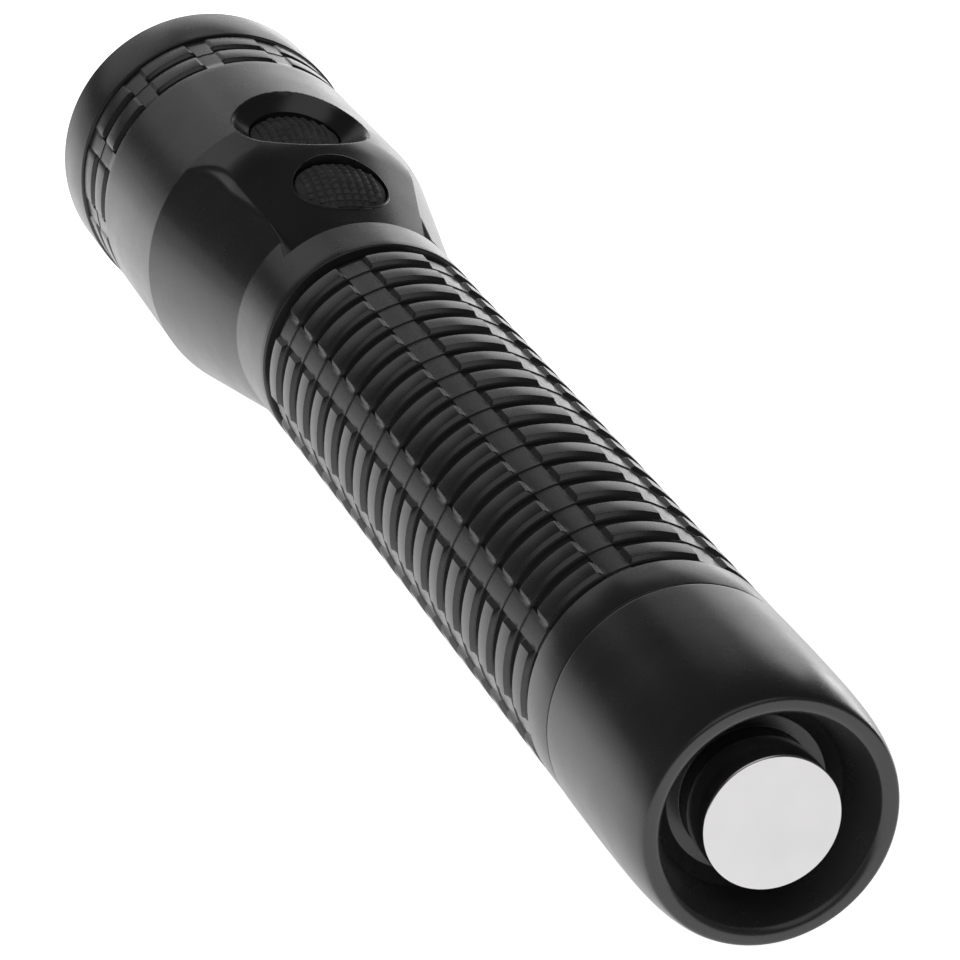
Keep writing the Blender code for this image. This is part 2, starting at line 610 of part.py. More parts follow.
# ---- lamp and bezel ----------------------------------------------------------------------------------
def build_lamp():
    soften(disc("heat_sink", LAMP_BAY_R - GAP, SINK_START_Z, SINK_END_Z, RAW_ALUMINIUM))
    board = SINK_END_Z + GAP
    soften(disc("led_board", BOARD_R, board, board + BOARD_T, WHITE_BOARD))
    led = board + BOARD_T + GAP
    dome_z = led + LED_BASE_H - LED_DOME_SINK
    dome = [(LED_DOME_R * math.sin(a), dome_z + LED_DOME_R * math.cos(a)) for a in (0.0, 0.5, 1.0, 1.4)]
    emitter = box("led_emitter", (LED_SIDE, LED_SIDE, LED_BASE_H),
                  (0.0, 0.0, led + LED_BASE_H / 2), LED_RESIN)
    root = [(LED_DOME_R, led + LED_DOME_ROOT), (0.0, led + LED_DOME_ROOT)]
    cap = turned("led_dome", dome + root, None, SEG_SMALL, closed=False, cutter=True)
    combine(emitter, cap, "UNION")
    soften(emitter)
    throat_z = led + REFLECTOR_THROAT_LIFT
    vertex_z = throat_z - REFLECTOR_THROAT_R ** 2 / (4 * REFLECTOR_FOCUS)
    inner = []
    outer = []
    mouth_r = math.sqrt(4 * REFLECTOR_FOCUS * (REFLECTOR_MOUTH_Z - vertex_z))
    for i in range(REFLECTOR_RINGS + 1):
        radius = REFLECTOR_THROAT_R + (mouth_r - REFLECTOR_THROAT_R) * i / REFLECTOR_RINGS
        z = vertex_z + radius ** 2 / (4 * REFLECTOR_FOCUS)
        inner.append((radius, z))
        outer.append((radius + REFLECTOR_WALL, z))
    flange_z = REFLECTOR_MOUTH_Z - REFLECTOR_FLANGE
    profile = [inner[-1], (REFLECTOR_RIM_R, REFLECTOR_MOUTH_Z), (REFLECTOR_RIM_R, flange_z)]
    profile += [point for point in reversed(outer) if point[1] < flange_z - REFLECTOR_WALL]
    profile += inner[:-1]
    soften(turned("reflector", profile, MIRROR, SEG_MEDIUM))
    soften(tube("lens_gasket", GASKET_INNER_R, LENS_R, HEAD_NECK_Z + GAP,
                LENS_START_Z - GAP, SEAL_RUBBER, SEG_LARGE))
    soften(disc("front_lens", LENS_R, LENS_START_Z, LENS_END_Z, CLEAR_LENS, SEG_LARGE))


def build_bezel():
    profile = [(BEZEL_LIP_R + LIP_CHAMFER, LENGTH), (BEZEL_R - BEZEL_CHAMFER, LENGTH),
               (BEZEL_R, LENGTH - BEZEL_CHAMFER), (BEZEL_R, BEZEL_START_Z + BEZEL_EDGE),
               (BEZEL_R - BEZEL_EDGE, BEZEL_START_Z), (BEZEL_BORE_R, BEZEL_START_Z),
               (BEZEL_BORE_R, BEZEL_LIP_Z), (BEZEL_LIP_R, BEZEL_LIP_Z), (BEZEL_LIP_R, LENGTH - LIP_CHAMFER)]
    soften(turned("bezel", profile, BLACK_METAL, SEG_LARGE))


build_tail()
build_barrel()
build_head()
build_switch_parts()
build_lamp()
build_bezel()
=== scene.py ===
import math

import bmesh
import bpy
import numpy as np
from mathutils import Matrix, Vector


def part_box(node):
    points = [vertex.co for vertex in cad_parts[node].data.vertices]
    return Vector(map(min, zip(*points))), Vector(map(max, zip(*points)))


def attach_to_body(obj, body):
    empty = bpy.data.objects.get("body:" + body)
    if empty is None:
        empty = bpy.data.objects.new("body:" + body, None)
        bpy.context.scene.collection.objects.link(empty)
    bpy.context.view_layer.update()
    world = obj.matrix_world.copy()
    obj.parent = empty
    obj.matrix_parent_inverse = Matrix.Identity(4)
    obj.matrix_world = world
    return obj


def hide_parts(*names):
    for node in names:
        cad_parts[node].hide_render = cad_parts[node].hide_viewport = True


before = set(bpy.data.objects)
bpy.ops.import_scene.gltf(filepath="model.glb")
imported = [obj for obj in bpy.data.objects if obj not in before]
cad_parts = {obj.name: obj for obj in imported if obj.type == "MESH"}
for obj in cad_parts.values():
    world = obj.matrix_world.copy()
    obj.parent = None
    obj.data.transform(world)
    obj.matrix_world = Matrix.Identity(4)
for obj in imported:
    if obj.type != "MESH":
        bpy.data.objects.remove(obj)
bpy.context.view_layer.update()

# Large duty flashlight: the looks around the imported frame.
#
# Pieces are built in an axis frame: "along" is the distance from the tail face towards the
# bezel, "radius" the distance from the light's axis, and "angle" turns from the button side
# (up) towards -X. World: x = -radius sin(angle), y = TAIL_Y + along, z = radius cos(angle).

MM = 0.001
FINE, SOFT, ROUND = 0.1 * MM, 0.2 * MM, 0.3 * MM    # the usual fillets


# ---- places read from the frame ----
TAIL_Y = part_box("tail_cap")[0].y
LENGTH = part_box("bezel")[1].y - TAIL_Y
GAP = 0.3 * MM


def along_of(node):
    """Where a node starts and ends along the axis, from the tail face."""
    low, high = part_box(node)
    return low.y - TAIL_Y, high.y - TAIL_Y


def radius_of(node):
    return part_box(node)[1].x


CAP_END = along_of("tail_cap")[1]
NECK_TAIL, NECK_HEAD = along_of("barrel")
COLLAR_START = along_of("head_housing")[0]
HEAD_NECK_END = along_of("head_housing")[1]
BEZEL_START = along_of("bezel")[0]
MAGNET_H = along_of("tail_magnet")[1]
MAGNET_R = radius_of("tail_magnet")
LENS_START, LENS_END = along_of("front_lens")
LENS_R = radius_of("front_lens")
HEAD_R = radius_of("bezel")

# ---- tail cap ----
RIM_R = 17.5 * MM
MOUTH_R = 15.4 * MM
WALL_R = 12.8 * MM
FLOOR_R = 11.1 * MM
CHAMFER_S = 8.1 * MM
FLOOR_S = 9.7 * MM
BOSS_R = 9.2 * MM
CAP_R = 18.86 * MM
CAP_FLARE = 1.32 * MM
CAP_FLARE_LENGTH = 4.4 * MM
INNER_FLOOR_S = 12.2 * MM
CHAMBER_R = 14.5 * MM
SOCKET_R = 16.8 * MM
SOCKET_TAIL_S = 21.2 * MM

# ---- barrel ----
BARREL_R = 18.7 * MM
BORE_R = 14.2 * MM
NECK_R = 16.3 * MM
SEAT_R = 15.0 * MM
SEAT_HALF = 1.0 * MM
RING_WIRE = 0.6 * MM
TAIL_RING_S = 31.6 * MM
HEAD_RING_S = 175.6 * MM
GRIP_START = 43.2 * MM
GRIP_END = 172.3 * MM
RIB_COUNT = 17
RIB_PITCH = 7.478 * MM
RIB_FOOT = 164.7 * MM
PANELS = 8
RIB_HALF = math.radians(14.5)
RIB_END = math.radians(16.4)
POCKET_WALL = math.radians(0.25)
RIB_R = 18.7 * MM
TILE_R = 18.08 * MM
TILE_FALL = 0.17 * MM
GROOVE_R = 17.5 * MM
DEEP_GROOVE_R = 17.2 * MM
THREAD_DEPTH = 0.45 * MM
TAIL_THREAD_PITCH = 1.5 * MM
BEZEL_THREAD_PITCH = 1.0 * MM

# ---- head ----
COLLAR_R = 18.75 * MM
COLLAR_STEP = 183.2 * MM
CONE_START = 188.2 * MM
CONE_END = 221.4 * MM
HEAD_FRONT_R = 24.15 * MM
BAND_START = 252.0 * MM
BAND_PITCH = 7.25 * MM
BAND_ROWS = 2
BAND_END = BAND_START + BAND_ROWS * BAND_PITCH
BLOCKS = 12
BLOCK_HALF = math.radians(10.0)
BLOCK_END = math.radians(11.2)
BLOCK_R = 24.1 * MM
BAND_TILE_R = 23.95 * MM
BAND_FLOOR_R = 23.3 * MM
HEAD_SOCKET_END = 181.5 * MM
HEAD_CHAMBER_R = 13.8 * MM
LAMP_BAY_S = 235.0 * MM
LAMP_BAY_R = 20.9 * MM
HEAD_NECK_R = 22.3 * MM

# ---- pad, dish and buttons ----
PAD_S = 198.2 * MM
PAD_H = 20.45 * MM
PAD_SLOPE = 0.28
PAD_CROWN_EXTRA = 1.6 * MM
PAD_EDGE = math.radians(40.0)
PAD_FLARE_S = 208.5 * MM
PAD_FLARE = math.radians(0.078) / MM ** 2
SIDE_SLOPE = 0.7
SIDE_FOOT = 0.6 * MM
SHOULDER_SLOPE = 0.045
SHOULDER_BLEND = 0.8 * MM
DISH_HALF_WIDTH = 14.07 * MM
DISH_RADIUS = 11.86 * MM
DISH_TAIL_RADIUS = 15.4 * MM
DISH_LIFT = 9.5 * MM
HOLE_R = 7.7 * MM
HOLE_STEP_R = 8.9 * MM
HOLE_STEP = -5.0 * MM
REAR_SEAT = (198.3 * MM, 20.2 * MM, math.atan(0.27))
FRONT_SEAT = (224.8 * MM, 19.8 * MM, math.atan(0.15))
BUTTON_R = HOLE_R - GAP
BUTTON_EDGE = -1.4 * MM
BUTTON_CROWN = 1.8 * MM
REAR_LIFT = 0.2 * MM
FRONT_LIFT = 0.8 * MM
FLANGE_R = 8.6 * MM
FLANGE_H = 0.9 * MM
SKIN = 1.3 * MM
POST_R = 2.2 * MM
POST_END = -8.2 * MM

# ---- bezel and optics ----
BEZEL_BORE_R = 22.7 * MM
LIP_R = 19.5 * MM
LIP_S = 277.5 * MM
GASKET_INNER_R = 20.0 * MM
REFLECTOR_RIM_R = radius_of("reflector")
REFLECTOR_FOCUS = 2.6 * MM
REFLECTOR_WALL = 1.2 * MM
THROAT_R = 4.6 * MM
LED_SIDE = 5.0 * MM
LED_BASE = 0.8 * MM
DOME_R = 2.2 * MM
LED_PAD_SIZE = (2.2 * MM, 1.5 * MM, 0.5 * MM)
LED_PAD_PLACE = 7.0 * MM

# ---- power parts and switches ----
RING_R = 15.9 * MM
WIRE = 0.7 * MM
CELL_R = radius_of("battery_cell_rear")
NUB_R = 5.0 * MM
NUB_H = 1.2 * MM
SLEEVE_IN_R = 13.4 * MM
BOARD_R = radius_of("driver_board")
SWITCH_SIDE = 7.6 * MM
SWITCH_TOP = -10.5 * MM
SWITCH_BASE = -14.6 * MM
WELL_END = -14.1 * MM
WIRE_HOLE_R = 1.1 * MM
WIRE_HOLE_PLACE = 14.0 * MM
SLOT_SIZE = (2.4 * MM, 3.6 * MM, 4.0 * MM)
SLOT_LIFT = 3.2 * MM
POCKET_DEPTH = 12.0 * MM
SLOT_PITCH = 6.5 * MM
PLUNGER_R = 1.5 * MM
PLUNGER_TOP = -8.5 * MM
PLUNGER_END = -12.5 * MM


# ---- mesh building ----
def filleted(corners, closed=False, steps=4):
    """The outline through corners of (radius, along, fillet), with each corner rounded."""
    points = []
    count = len(corners)
    for i, (radius, along, fillet) in enumerate(corners):
        here = Vector((radius, along))
        end = not closed and i in (0, count - 1)
        if fillet == 0 or end:
            points.append(tuple(here))
            continue
        back = Vector(corners[i - 1][:2]) - here
        ahead = Vector(corners[(i + 1) % count][:2]) - here
        half = back.angle(ahead) / 2
        reach = min(fillet / math.tan(half), 0.45 * back.length, 0.45 * ahead.length)
        bend = reach * math.tan(half)
        back.normalize()
        ahead.normalize()
        centre = here + (back + ahead).normalized() * bend / math.sin(half)
        first = here + back * reach - centre
        last = here + ahead * reach - centre
        sweep = first.angle(last)
        for step in range(steps + 1):
            share = step / steps
            spoke = first * math.sin((1 - share) * sweep) + last * math.sin(share * sweep)
            points.append(tuple(centre + spoke / math.sin(sweep)))
    return points


def link(name, data):
    obj = bpy.data.objects.new(name, data)
    bpy.context.scene.collection.objects.link(obj)
    return obj


def link_mesh(name, bm, material=None):
    """The object made from a bmesh, which is freed."""
    mesh = bpy.data.meshes.new(name)
    bm.to_mesh(mesh)
    bm.free()
    if material:
        mesh.materials.append(material)
    return link(name, mesh)


def new_object(name, vertices, faces, material, sharp=35.0):
    mesh = bpy.data.meshes.new(name)
    mesh.from_pydata(vertices, [], faces)
    mesh.materials.append(material)
    mesh.shade_smooth()
    mesh.set_sharp_from_angle(angle=math.radians(sharp))
    return link(name, mesh)


def attach(obj, body, node):
    """Rides a body in place of a node."""
    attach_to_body(obj, body)
    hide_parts(node)


def face_outward(obj):
    bm = bmesh.new()
    bm.from_mesh(obj.data)
    bmesh.ops.recalc_face_normals(bm, faces=bm.faces)
    bm.to_mesh(obj.data)
    bm.free()


def grid_faces(this, after):
    """Quads between two grids of point numbers, closed round their second axis."""
    corners = [this, after, np.roll(after, -1, axis=1), np.roll(this, -1, axis=1)]
    return np.stack(corners, axis=-1).reshape(-1, 4)


def outward(vertices, faces):
    """The faces turned so that the closed shape's volume is positive."""
    volume = 0.0
    for corner in range(1, faces.shape[1] - 1):
        a = vertices[faces[:, 0]]
        b = vertices[faces[:, corner]]
        c = vertices[faces[:, corner + 1]]
        volume += np.einsum("ij,ij->i", a, np.cross(b, c)).sum()
    return faces if volume > 0 else faces[:, ::-1]


def lathe(name, rows, angles, material, solid=False, sharp=35.0):
    """Closed body from rings of points, each ring a (radius or radii, along) pair.
    A solid one starts and ends on the axis; any other closes on its first ring."""
    columns = len(angles)
    rings = [(np.broadcast_to(r, (columns,)), s) for r, s in rows]
    if solid:
        rings = rings[1:-1]
    vertices = np.empty((len(rings), columns, 3))
    for ring, (radii, along) in zip(vertices, rings):
        ring[:, 0] = -radii * np.sin(angles)
        ring[:, 1] = TAIL_Y + along
        ring[:, 2] = radii * np.cos(angles)
    count = len(rings)
    index = np.arange(count * columns).reshape(count, columns)
    quads = grid_faces(index[:-1], index[1:]) if solid else grid_faces(index, np.roll(index, -1, axis=0))
    points = vertices.reshape(-1, 3).tolist()
    faces = quads.tolist()
    if solid:
        first = len(points)
        points.append((0.0, TAIL_Y + rows[0][1], 0.0))
        points.append((0.0, TAIL_Y + rows[-1][1], 0.0))
        ring, last = index[0], index[-1]
        faces += [(first, int(a), int(b)) for a, b in zip(ring, np.roll(ring, -1))]
        faces += [(first + 1, int(b), int(a)) for a, b in zip(last, np.roll(last, -1))]
    array = np.array(points)
    whole = np.array([(*f, f[-1]) if len(f) == 3 else f for f in faces])
    if not np.array_equal(outward(array, whole), whole):
        faces = [tuple(reversed(f)) for f in faces]
    return new_object(name, points, faces, material, sharp)


def ring_of(columns):
    return np.arange(columns) * math.tau / columns


def disc(start, end, radius, edge):
    """Corners of a plain round disc with softened edges."""
    return [(0, start, 0), (radius, start, edge), (radius, end, edge), (0, end, 0)]


def plug(radius, top, bottom):
    """Outline of a plain round cutter about local Z."""
    return [(0, top), (radius, top), (radius, bottom), (0, bottom)]


def turned(name, corners, material, columns=192, solid=False, steps=4, sharp=35.0):
    """A turned part: its outline's corners carry their own fillets."""
    return lathe(name, filleted(corners, not solid, steps), ring_of(columns), material, solid, sharp)


def smooth_min(a, b, blend):
    share = np.clip(0.5 + 0.5 * (b - a) / blend, 0, 1)
    return b + (a - b) * share - blend * share * (1 - share)


def cut(obj, cutter, operation="DIFFERENCE"):
    """Cut or join two closed bodies, and leave the result on obj."""
    modifier = obj.modifiers.new("cut", "BOOLEAN")
    modifier.operation = operation
    modifier.solver = "MANIFOLD"
    modifier.object = cutter
    bpy.context.view_layer.update()
    graph = bpy.context.evaluated_depsgraph_get()
    result = bpy.data.meshes.new_from_object(obj.evaluated_get(graph), depsgraph=graph)
    obj.modifiers.clear()
    obj.data = result
    bpy.data.objects.remove(cutter)
    return obj


def crisp(obj, degrees=35.0):
    obj.data.shade_smooth()
    obj.data.set_sharp_from_angle(angle=math.radians(degrees))


def seat_matrix(seat):
    """Places a part made about local Z on a button's seat, its outside up."""
    along, height, tilt = seat
    return Matrix.Translation((0, TAIL_Y + along, height)) @ Matrix.Rotation(tilt, 4, "X")


# ---- materials ----
def shade(colour, factor, lift=0.0):
    return tuple(min(1.0, c * factor + lift) for c in colour)


class Nodes:
    """Short calls for a material's node tree."""

    def __init__(self, name):
        self.material = bpy.data.materials.new(name)
        self.material.use_nodes = True
        self.tree = self.material.node_tree
        self.shader = self.tree.nodes["Principled BSDF"]
        self.place = self.add("ShaderNodeTexCoord").outputs["Object"]

    def add(self, kind, **values):
        node = self.tree.nodes.new(kind)
        for key, value in values.items():
            if hasattr(node, key):
                setattr(node, key, value)
            else:
                node.inputs[key.replace("_", " ")].default_value = value
        return node

    def join(self, source, target):
        self.tree.links.new(source, target)

    def axes(self):
        """The object's own X, Y and Z."""
        node = self.add("ShaderNodeSeparateXYZ")
        self.join(self.place, node.inputs["Vector"])
        return node.outputs

    def noise(self, scale, detail=3.0, stretch=None):
        node = self.add("ShaderNodeTexNoise", Scale=scale, Detail=detail)
        place = self.place
        if stretch:
            mapping = self.add("ShaderNodeMapping", Scale=stretch)
            self.join(place, mapping.inputs["Vector"])
            place = mapping.outputs["Vector"]
        self.join(place, node.inputs["Vector"])
        return node.outputs["Fac"]

    def spread(self, value, low, high, start=0.3, end=0.7):
        """Maps a 0..1 pattern onto the range low..high."""
        node = self.add("ShaderNodeMapRange")
        for name, number in (("From Min", start), ("From Max", end), ("To Min", low), ("To Max", high)):
            node.inputs[name].default_value = number
        self.join(value, node.inputs["Value"])
        return node.outputs["Result"]

    def maths(self, operation, a, b=0.0):
        node = self.add("ShaderNodeMath", operation=operation)
        for socket, value in zip(node.inputs, (a, b)):
            if isinstance(value, (int, float)):
                socket.default_value = value
            else:
                self.join(value, socket)
        return node.outputs["Value"]

    def vary(self, pattern, first, second):
        """Two colours mixed by a 0..1 pattern."""
        return self.blend(self.spread(pattern, 0.0, 1.0), first, second)

    def blend(self, share, first, second):
        """Mixes two colours, or a colour and a socket, by share."""
        node = self.add("ShaderNodeMix", data_type="RGBA")
        self.join(share, node.inputs["Factor"])
        for socket, value in ((node.inputs[6], first), (node.inputs[7], second)):
            if isinstance(value, tuple):
                socket.default_value = (*value, 1.0)
            else:
                self.join(value, socket)
        return node.outputs[2]

    def satin(self, cloud, low, high, fine, amount):
        """Roughness that drifts with a cloud and is broken up by a finer pattern."""
        return self.maths("ADD", self.spread(cloud, low, high), self.maths("MULTIPLY", fine, amount))

    def edges(self, low=0.53, high=0.62):
        """1 on sharp, outward edges and 0 elsewhere."""
        geometry = self.add("ShaderNodeNewGeometry")
        return self.spread(geometry.outputs["Pointiness"], 0.0, 1.0, low, high)

    def bump(self, height, distance, strength=1.0, normal=None):
        node = self.add("ShaderNodeBump", Strength=strength, Distance=distance)
        self.join(height, node.inputs["Height"])
        if normal:
            self.join(normal, node.inputs["Normal"])
        return node.outputs["Normal"]

    def finish(self, colour=None, roughness=None, normal=None, **sockets):
        for value, name in ((colour, "Base Color"), (roughness, "Roughness"), (normal, "Normal")):
            if value is not None:
                self.join(value, self.shader.inputs[name])
        for name, value in sockets.items():
            self.shader.inputs[name.replace("_", " ")].default_value = value
        return self.material


def anodised(name, colour, worn_and_highlit_colour, roughness):
    """Satin anodised aluminium: fine blasted grain, faint tool marks, edges lighter, partly as rubbed wear
    and partly as a painted edge highlight.
    """
    n = Nodes(name)
    cloud = n.noise(90.0, 4.0)
    grain = n.noise(5200.0, 2.0)
    base = n.vary(cloud, shade(colour, 0.85), shade(colour, 1.15))
    # Painted highlight: sharp edges are lightened towards the edge colour in patches, partly as rubbed wear
    # and partly standing in for the thin light that real edges catch.
    rubbed_and_highlit_edges = n.maths("MULTIPLY", n.edges(0.56, 0.72), n.spread(n.noise(420.0, 5.0), 0.0, 0.3))
    base = n.blend(rubbed_and_highlit_edges, base, worn_and_highlit_colour)
    smudge = n.noise(160.0, 6.0)
    rough = n.satin(smudge, roughness - 0.02, roughness + 0.03, grain, 0.03)
    normal = n.bump(grain, 0.00002, 0.25)
    return n.finish(base, rough, normal, Metallic=0.0, Specular_IOR_Level=0.5, IOR=1.62)


def bright_plate(name, colour, roughness, grain_scale=900.0):
    """Nickel plate with faint handling scratches."""
    n = Nodes(name)
    fine = n.noise(grain_scale, 4.0)
    streak = n.noise(300.0, 6.0, (1.0, 8.0, 9.0))
    base = n.vary(n.noise(120.0), shade(colour, 0.95), colour)
    rough = n.satin(streak, roughness - 0.03, roughness + 0.05, fine, 0.02)
    return n.finish(base, rough, n.bump(fine, 0.00001, 0.12), Metallic=1.0)


def rubber(name, colour, roughness=0.62, scale=2600.0):
    """Moulded rubber with a fine matt skin and a little dust."""
    n = Nodes(name)
    skin = n.noise(scale, 3.0)
    dust = n.spread(n.noise(240.0, 6.0), 0.0, 1.0, 0.45, 0.8)
    light = shade(colour, 1.9, 0.004)
    base = n.blend(dust, colour, light)
    base = n.blend(n.edges(0.55, 0.7), base, light)
    rough = n.spread(skin, roughness - 0.05, roughness + 0.08)
    return n.finish(base, rough, n.bump(skin, 0.00003, 0.35), Specular_IOR_Level=0.4)


# The second colour is the edge tone: partly rubbed wear, partly a painted edge highlight.
BLACK_METAL = anodised("black_anodised_aluminium", (0.034, 0.0315, 0.0325), (0.13, 0.125, 0.13), 0.245)
MAGNET_PLATE = bright_plate("nickel_plated_magnet", (0.70, 0.69, 0.695), 0.16)
BUTTON_RUBBER = rubber("black_button_rubber", (0.085, 0.083, 0.083))
SEAL_RUBBER = rubber("seal_rubber", (0.011, 0.011, 0.011), 0.45, 1500.0)
DARK_PLASTIC = rubber("dark_moulded_plastic", (0.030, 0.030, 0.032), 0.48, 3400.0)
SPRING_STEEL = bright_plate("spring_steel", (0.66, 0.66, 0.64), 0.24, 1400.0)
GOLD_PLATE = bright_plate("gilt_contact", (0.85, 0.64, 0.24), 0.22)


def turned_metal(name, colour, roughness, pitch=2400.0):
    """Bare aluminium with the fine rings that facing leaves about the axis."""
    n = Nodes(name)
    place = n.axes()
    across = n.maths("POWER", place["X"], 2.0)
    up = n.maths("POWER", place["Z"], 2.0)
    radius = n.maths("SQRT", n.maths("ADD", across, up))
    mark = n.maths("SINE", n.maths("MULTIPLY", radius, pitch * math.tau / 2))
    cloud = n.noise(150.0, 5.0)
    base = n.vary(cloud, shade(colour, 0.9), colour)
    base = n.blend(n.maths("MULTIPLY", n.edges(0.55, 0.7), 0.4), base, (0.85, 0.85, 0.86))
    rough = n.satin(cloud, roughness - 0.04, roughness + 0.06, mark, 0.03)
    return n.finish(base, rough, n.bump(mark, 0.00002, 0.3), Metallic=1.0)


def mirror_coat(name):
    """Vacuum metallised plastic with a faint moulded ripple and a little haze."""
    n = Nodes(name)
    ripple = n.noise(140.0, 2.0)
    haze = n.noise(500.0, 6.0)
    base = n.vary(haze, (0.86, 0.86, 0.87), (0.92, 0.92, 0.93))
    return n.finish(base, n.spread(haze, 0.03, 0.08), n.bump(ripple, 0.00004, 0.15), Metallic=1.0)


def clear_plastic(name):
    """Clear moulded lens with a slight tint and a hard, faintly hazed surface."""
    n = Nodes(name)
    haze = n.noise(260.0, 5.0)
    base = n.vary(haze, (0.93, 0.96, 0.97), (0.98, 0.99, 1.0))
    normal = n.bump(n.noise(90.0, 2.0), 0.00003, 0.1)
    return n.finish(base, n.spread(haze, 0.01, 0.05), normal, Transmission_Weight=1.0, IOR=1.586)


def printed_board(name, mask, track):
    """Solder mask over copper tracks, which stand a little proud and show lighter."""
    n = Nodes(name)
    turn = n.add("ShaderNodeMapping", Rotation=(math.pi / 2, 0.0, 0.0))
    n.join(n.place, turn.inputs["Vector"])
    bricks = n.add("ShaderNodeTexBrick", Scale=260.0)
    bricks.inputs["Mortar Size"].default_value = 0.05
    n.join(turn.outputs["Vector"], bricks.inputs["Vector"])
    line = bricks.outputs["Fac"]
    cloud = n.noise(220.0, 5.0)
    base = n.vary(cloud, shade(mask, 0.85), mask)
    base = n.blend(n.maths("MULTIPLY", line, 0.6), base, track)
    base = n.blend(n.edges(0.56, 0.7), base, shade(mask, 1.4, 0.02))
    return n.finish(base, n.spread(cloud, 0.32, 0.5), n.bump(line, 0.00004, 0.5), Coat_Weight=0.3)


def wrapped_cell(name, start, end, colour):
    """Shrink wrap with a faint shrink ripple, and bare nickelled steel at both ends."""
    n = Nodes(name)
    place = n.axes()
    middle = TAIL_Y + (start + end) / 2
    away = n.maths("ABSOLUTE", n.maths("SUBTRACT", place["Y"], middle))
    bare = n.spread(away, 0.0, 1.0, (end - start) / 2 - 0.30 * MM, (end - start) / 2 - 0.24 * MM)
    ripple = n.noise(180.0, 4.0, (1.0, 0.25, 1.0))
    wrap = n.vary(ripple, shade(colour, 0.8), colour)
    base = n.blend(bare, wrap, (0.68, 0.68, 0.66))
    rough = n.maths("SUBTRACT", n.spread(n.noise(700.0, 4.0), 0.28, 0.42), n.maths("MULTIPLY", bare, 0.06))
    n.join(bare, n.shader.inputs["Metallic"])
    return n.finish(base, rough, n.bump(ripple, 0.00006, 0.3), Coat_Weight=0.2)


def fibre_card(name, colour):
    """Rolled insulating card with long fibres and darker stains."""
    n = Nodes(name)
    fibre = n.noise(900.0, 6.0, (1.0, 0.08, 1.0))
    stain = n.noise(60.0, 5.0)
    base = n.vary(fibre, shade(colour, 0.8), colour)
    base = n.blend(n.spread(stain, 0.0, 0.35), base, shade(colour, 0.6))
    return n.finish(base, n.spread(fibre, 0.62, 0.8), n.bump(fibre, 0.00005, 0.5))


def phosphor(name, base_top):
    """Yellow phosphor under a clear dome, on a white ceramic base."""
    n = Nodes(name)
    place = n.axes()
    dome = n.spread(place["Y"], 0.0, 1.0, base_top - 0.02 * MM, base_top + 0.05 * MM)
    speck = n.noise(2600.0, 3.0)
    yellow = n.vary(speck, (0.80, 0.62, 0.12), (0.90, 0.76, 0.22))
    ceramic = n.vary(n.noise(600.0, 4.0), (0.72, 0.72, 0.70), (0.82, 0.82, 0.80))
    base = n.blend(dome, ceramic, yellow)
    return n.finish(base, n.spread(speck, 0.16, 0.3), n.bump(speck, 0.00002, 0.2), Coat_Weight=0.7)


MIRROR = mirror_coat("vacuum_metallised_mirror")
CLEAR_LENS = clear_plastic("clear_polycarbonate")
RAW_ALUMINIUM = turned_metal("raw_aluminium", (0.62, 0.63, 0.65), 0.33)
WHITE_BOARD = printed_board("white_solder_mask", (0.80, 0.81, 0.80), (0.70, 0.70, 0.68))
GREEN_BOARD = printed_board("green_solder_mask", (0.02, 0.14, 0.06), (0.05, 0.26, 0.12))
SLEEVE_CARD = fibre_card("insulating_sleeve", (0.55, 0.52, 0.44))


# ---- camera ----
def build_camera():
    camera = link("camera", bpy.data.cameras.new("camera"))
    camera.data.lens = 192.93
    camera.data.sensor_width = 36.0
    camera.data.clip_start = 0.01
    azimuth, elevation, roll = math.radians(20.09), math.radians(20.90), math.radians(5.47)
    forward = Vector((math.sin(azimuth) * math.cos(elevation),
                      math.cos(azimuth) * math.cos(elevation), -math.sin(elevation)))
    level = Vector((math.cos(azimuth), -math.sin(azimuth), 0.0))
    upright = level.cross(forward)
    right = level * math.cos(roll) + upright * math.sin(roll)
    up = upright * math.cos(roll) - level * math.sin(roll)
    place = Matrix((right, up, -forward)).transposed().to_4x4()
    place.translation = Vector((-0.24514, -0.68947, 0.27214))
    camera.matrix_world = place
    bpy.context.scene.camera = camera


build_camera()


# ---- tail cap and magnet ----
def cap_side():
    """The tail cap's gently flaring outer side, from rim to end."""
    points = []
    for along in np.concatenate([np.linspace(0.9, 10.0, 14), np.linspace(12.0, 34.2, 10)]) * MM:
        radius = CAP_R - CAP_FLARE * math.exp(-along / CAP_FLARE_LENGTH)
        past = max(0.0, (along - 17 * MM) / (17.4 * MM))
        points.append((radius - 0.1 * MM * past ** 2, along, 0))
    return points


def build_tail_cap():
    inside = [(0, MAGNET_H + GAP, 0), (BOSS_R, MAGNET_H + GAP, 0.15 * MM), (BOSS_R, FLOOR_S, SOFT),
              (FLOOR_R, FLOOR_S, ROUND), (WALL_R, CHAMFER_S, ROUND), (MOUTH_R, 0, 1.3 * MM)]
    rim = [(RIM_R - 0.05 * MM, 0, 1.0 * MM)]
    end = [(CAP_R - 0.12 * MM, CAP_END, 0.25 * MM), (SOCKET_R, CAP_END, 0.25 * MM),
           (SOCKET_R, SOCKET_TAIL_S, SOFT), (CHAMBER_R, SOCKET_TAIL_S, SOFT),
           (CHAMBER_R, INNER_FLOOR_S, 0.4 * MM), (0, INNER_FLOOR_S, 0)]
    cap = turned("tail_cap_shell", inside + rim + cap_side() + end, BLACK_METAL, solid=True, steps=6)
    attach(cap, "tail_end", "tail_cap")


def build_magnet():
    corners = disc(0, MAGNET_H, MAGNET_R, 0.3 * MM)
    magnet = turned("tail_magnet_disc", corners, MAGNET_PLATE, solid=True, steps=7)
    attach(magnet, "tail_end", "tail_magnet")


# ---- barrel ----
def symmetric(offsets, sectors):
    """Column angles that repeat the offsets either side of each sector's middle."""
    sector = math.tau / sectors
    inner = sorted(set(offsets) | {-o for o in offsets})
    columns = [k * sector + o for k in range(sectors) for o in inner if -sector / 2 < o <= sector / 2]
    return np.array(sorted(columns))


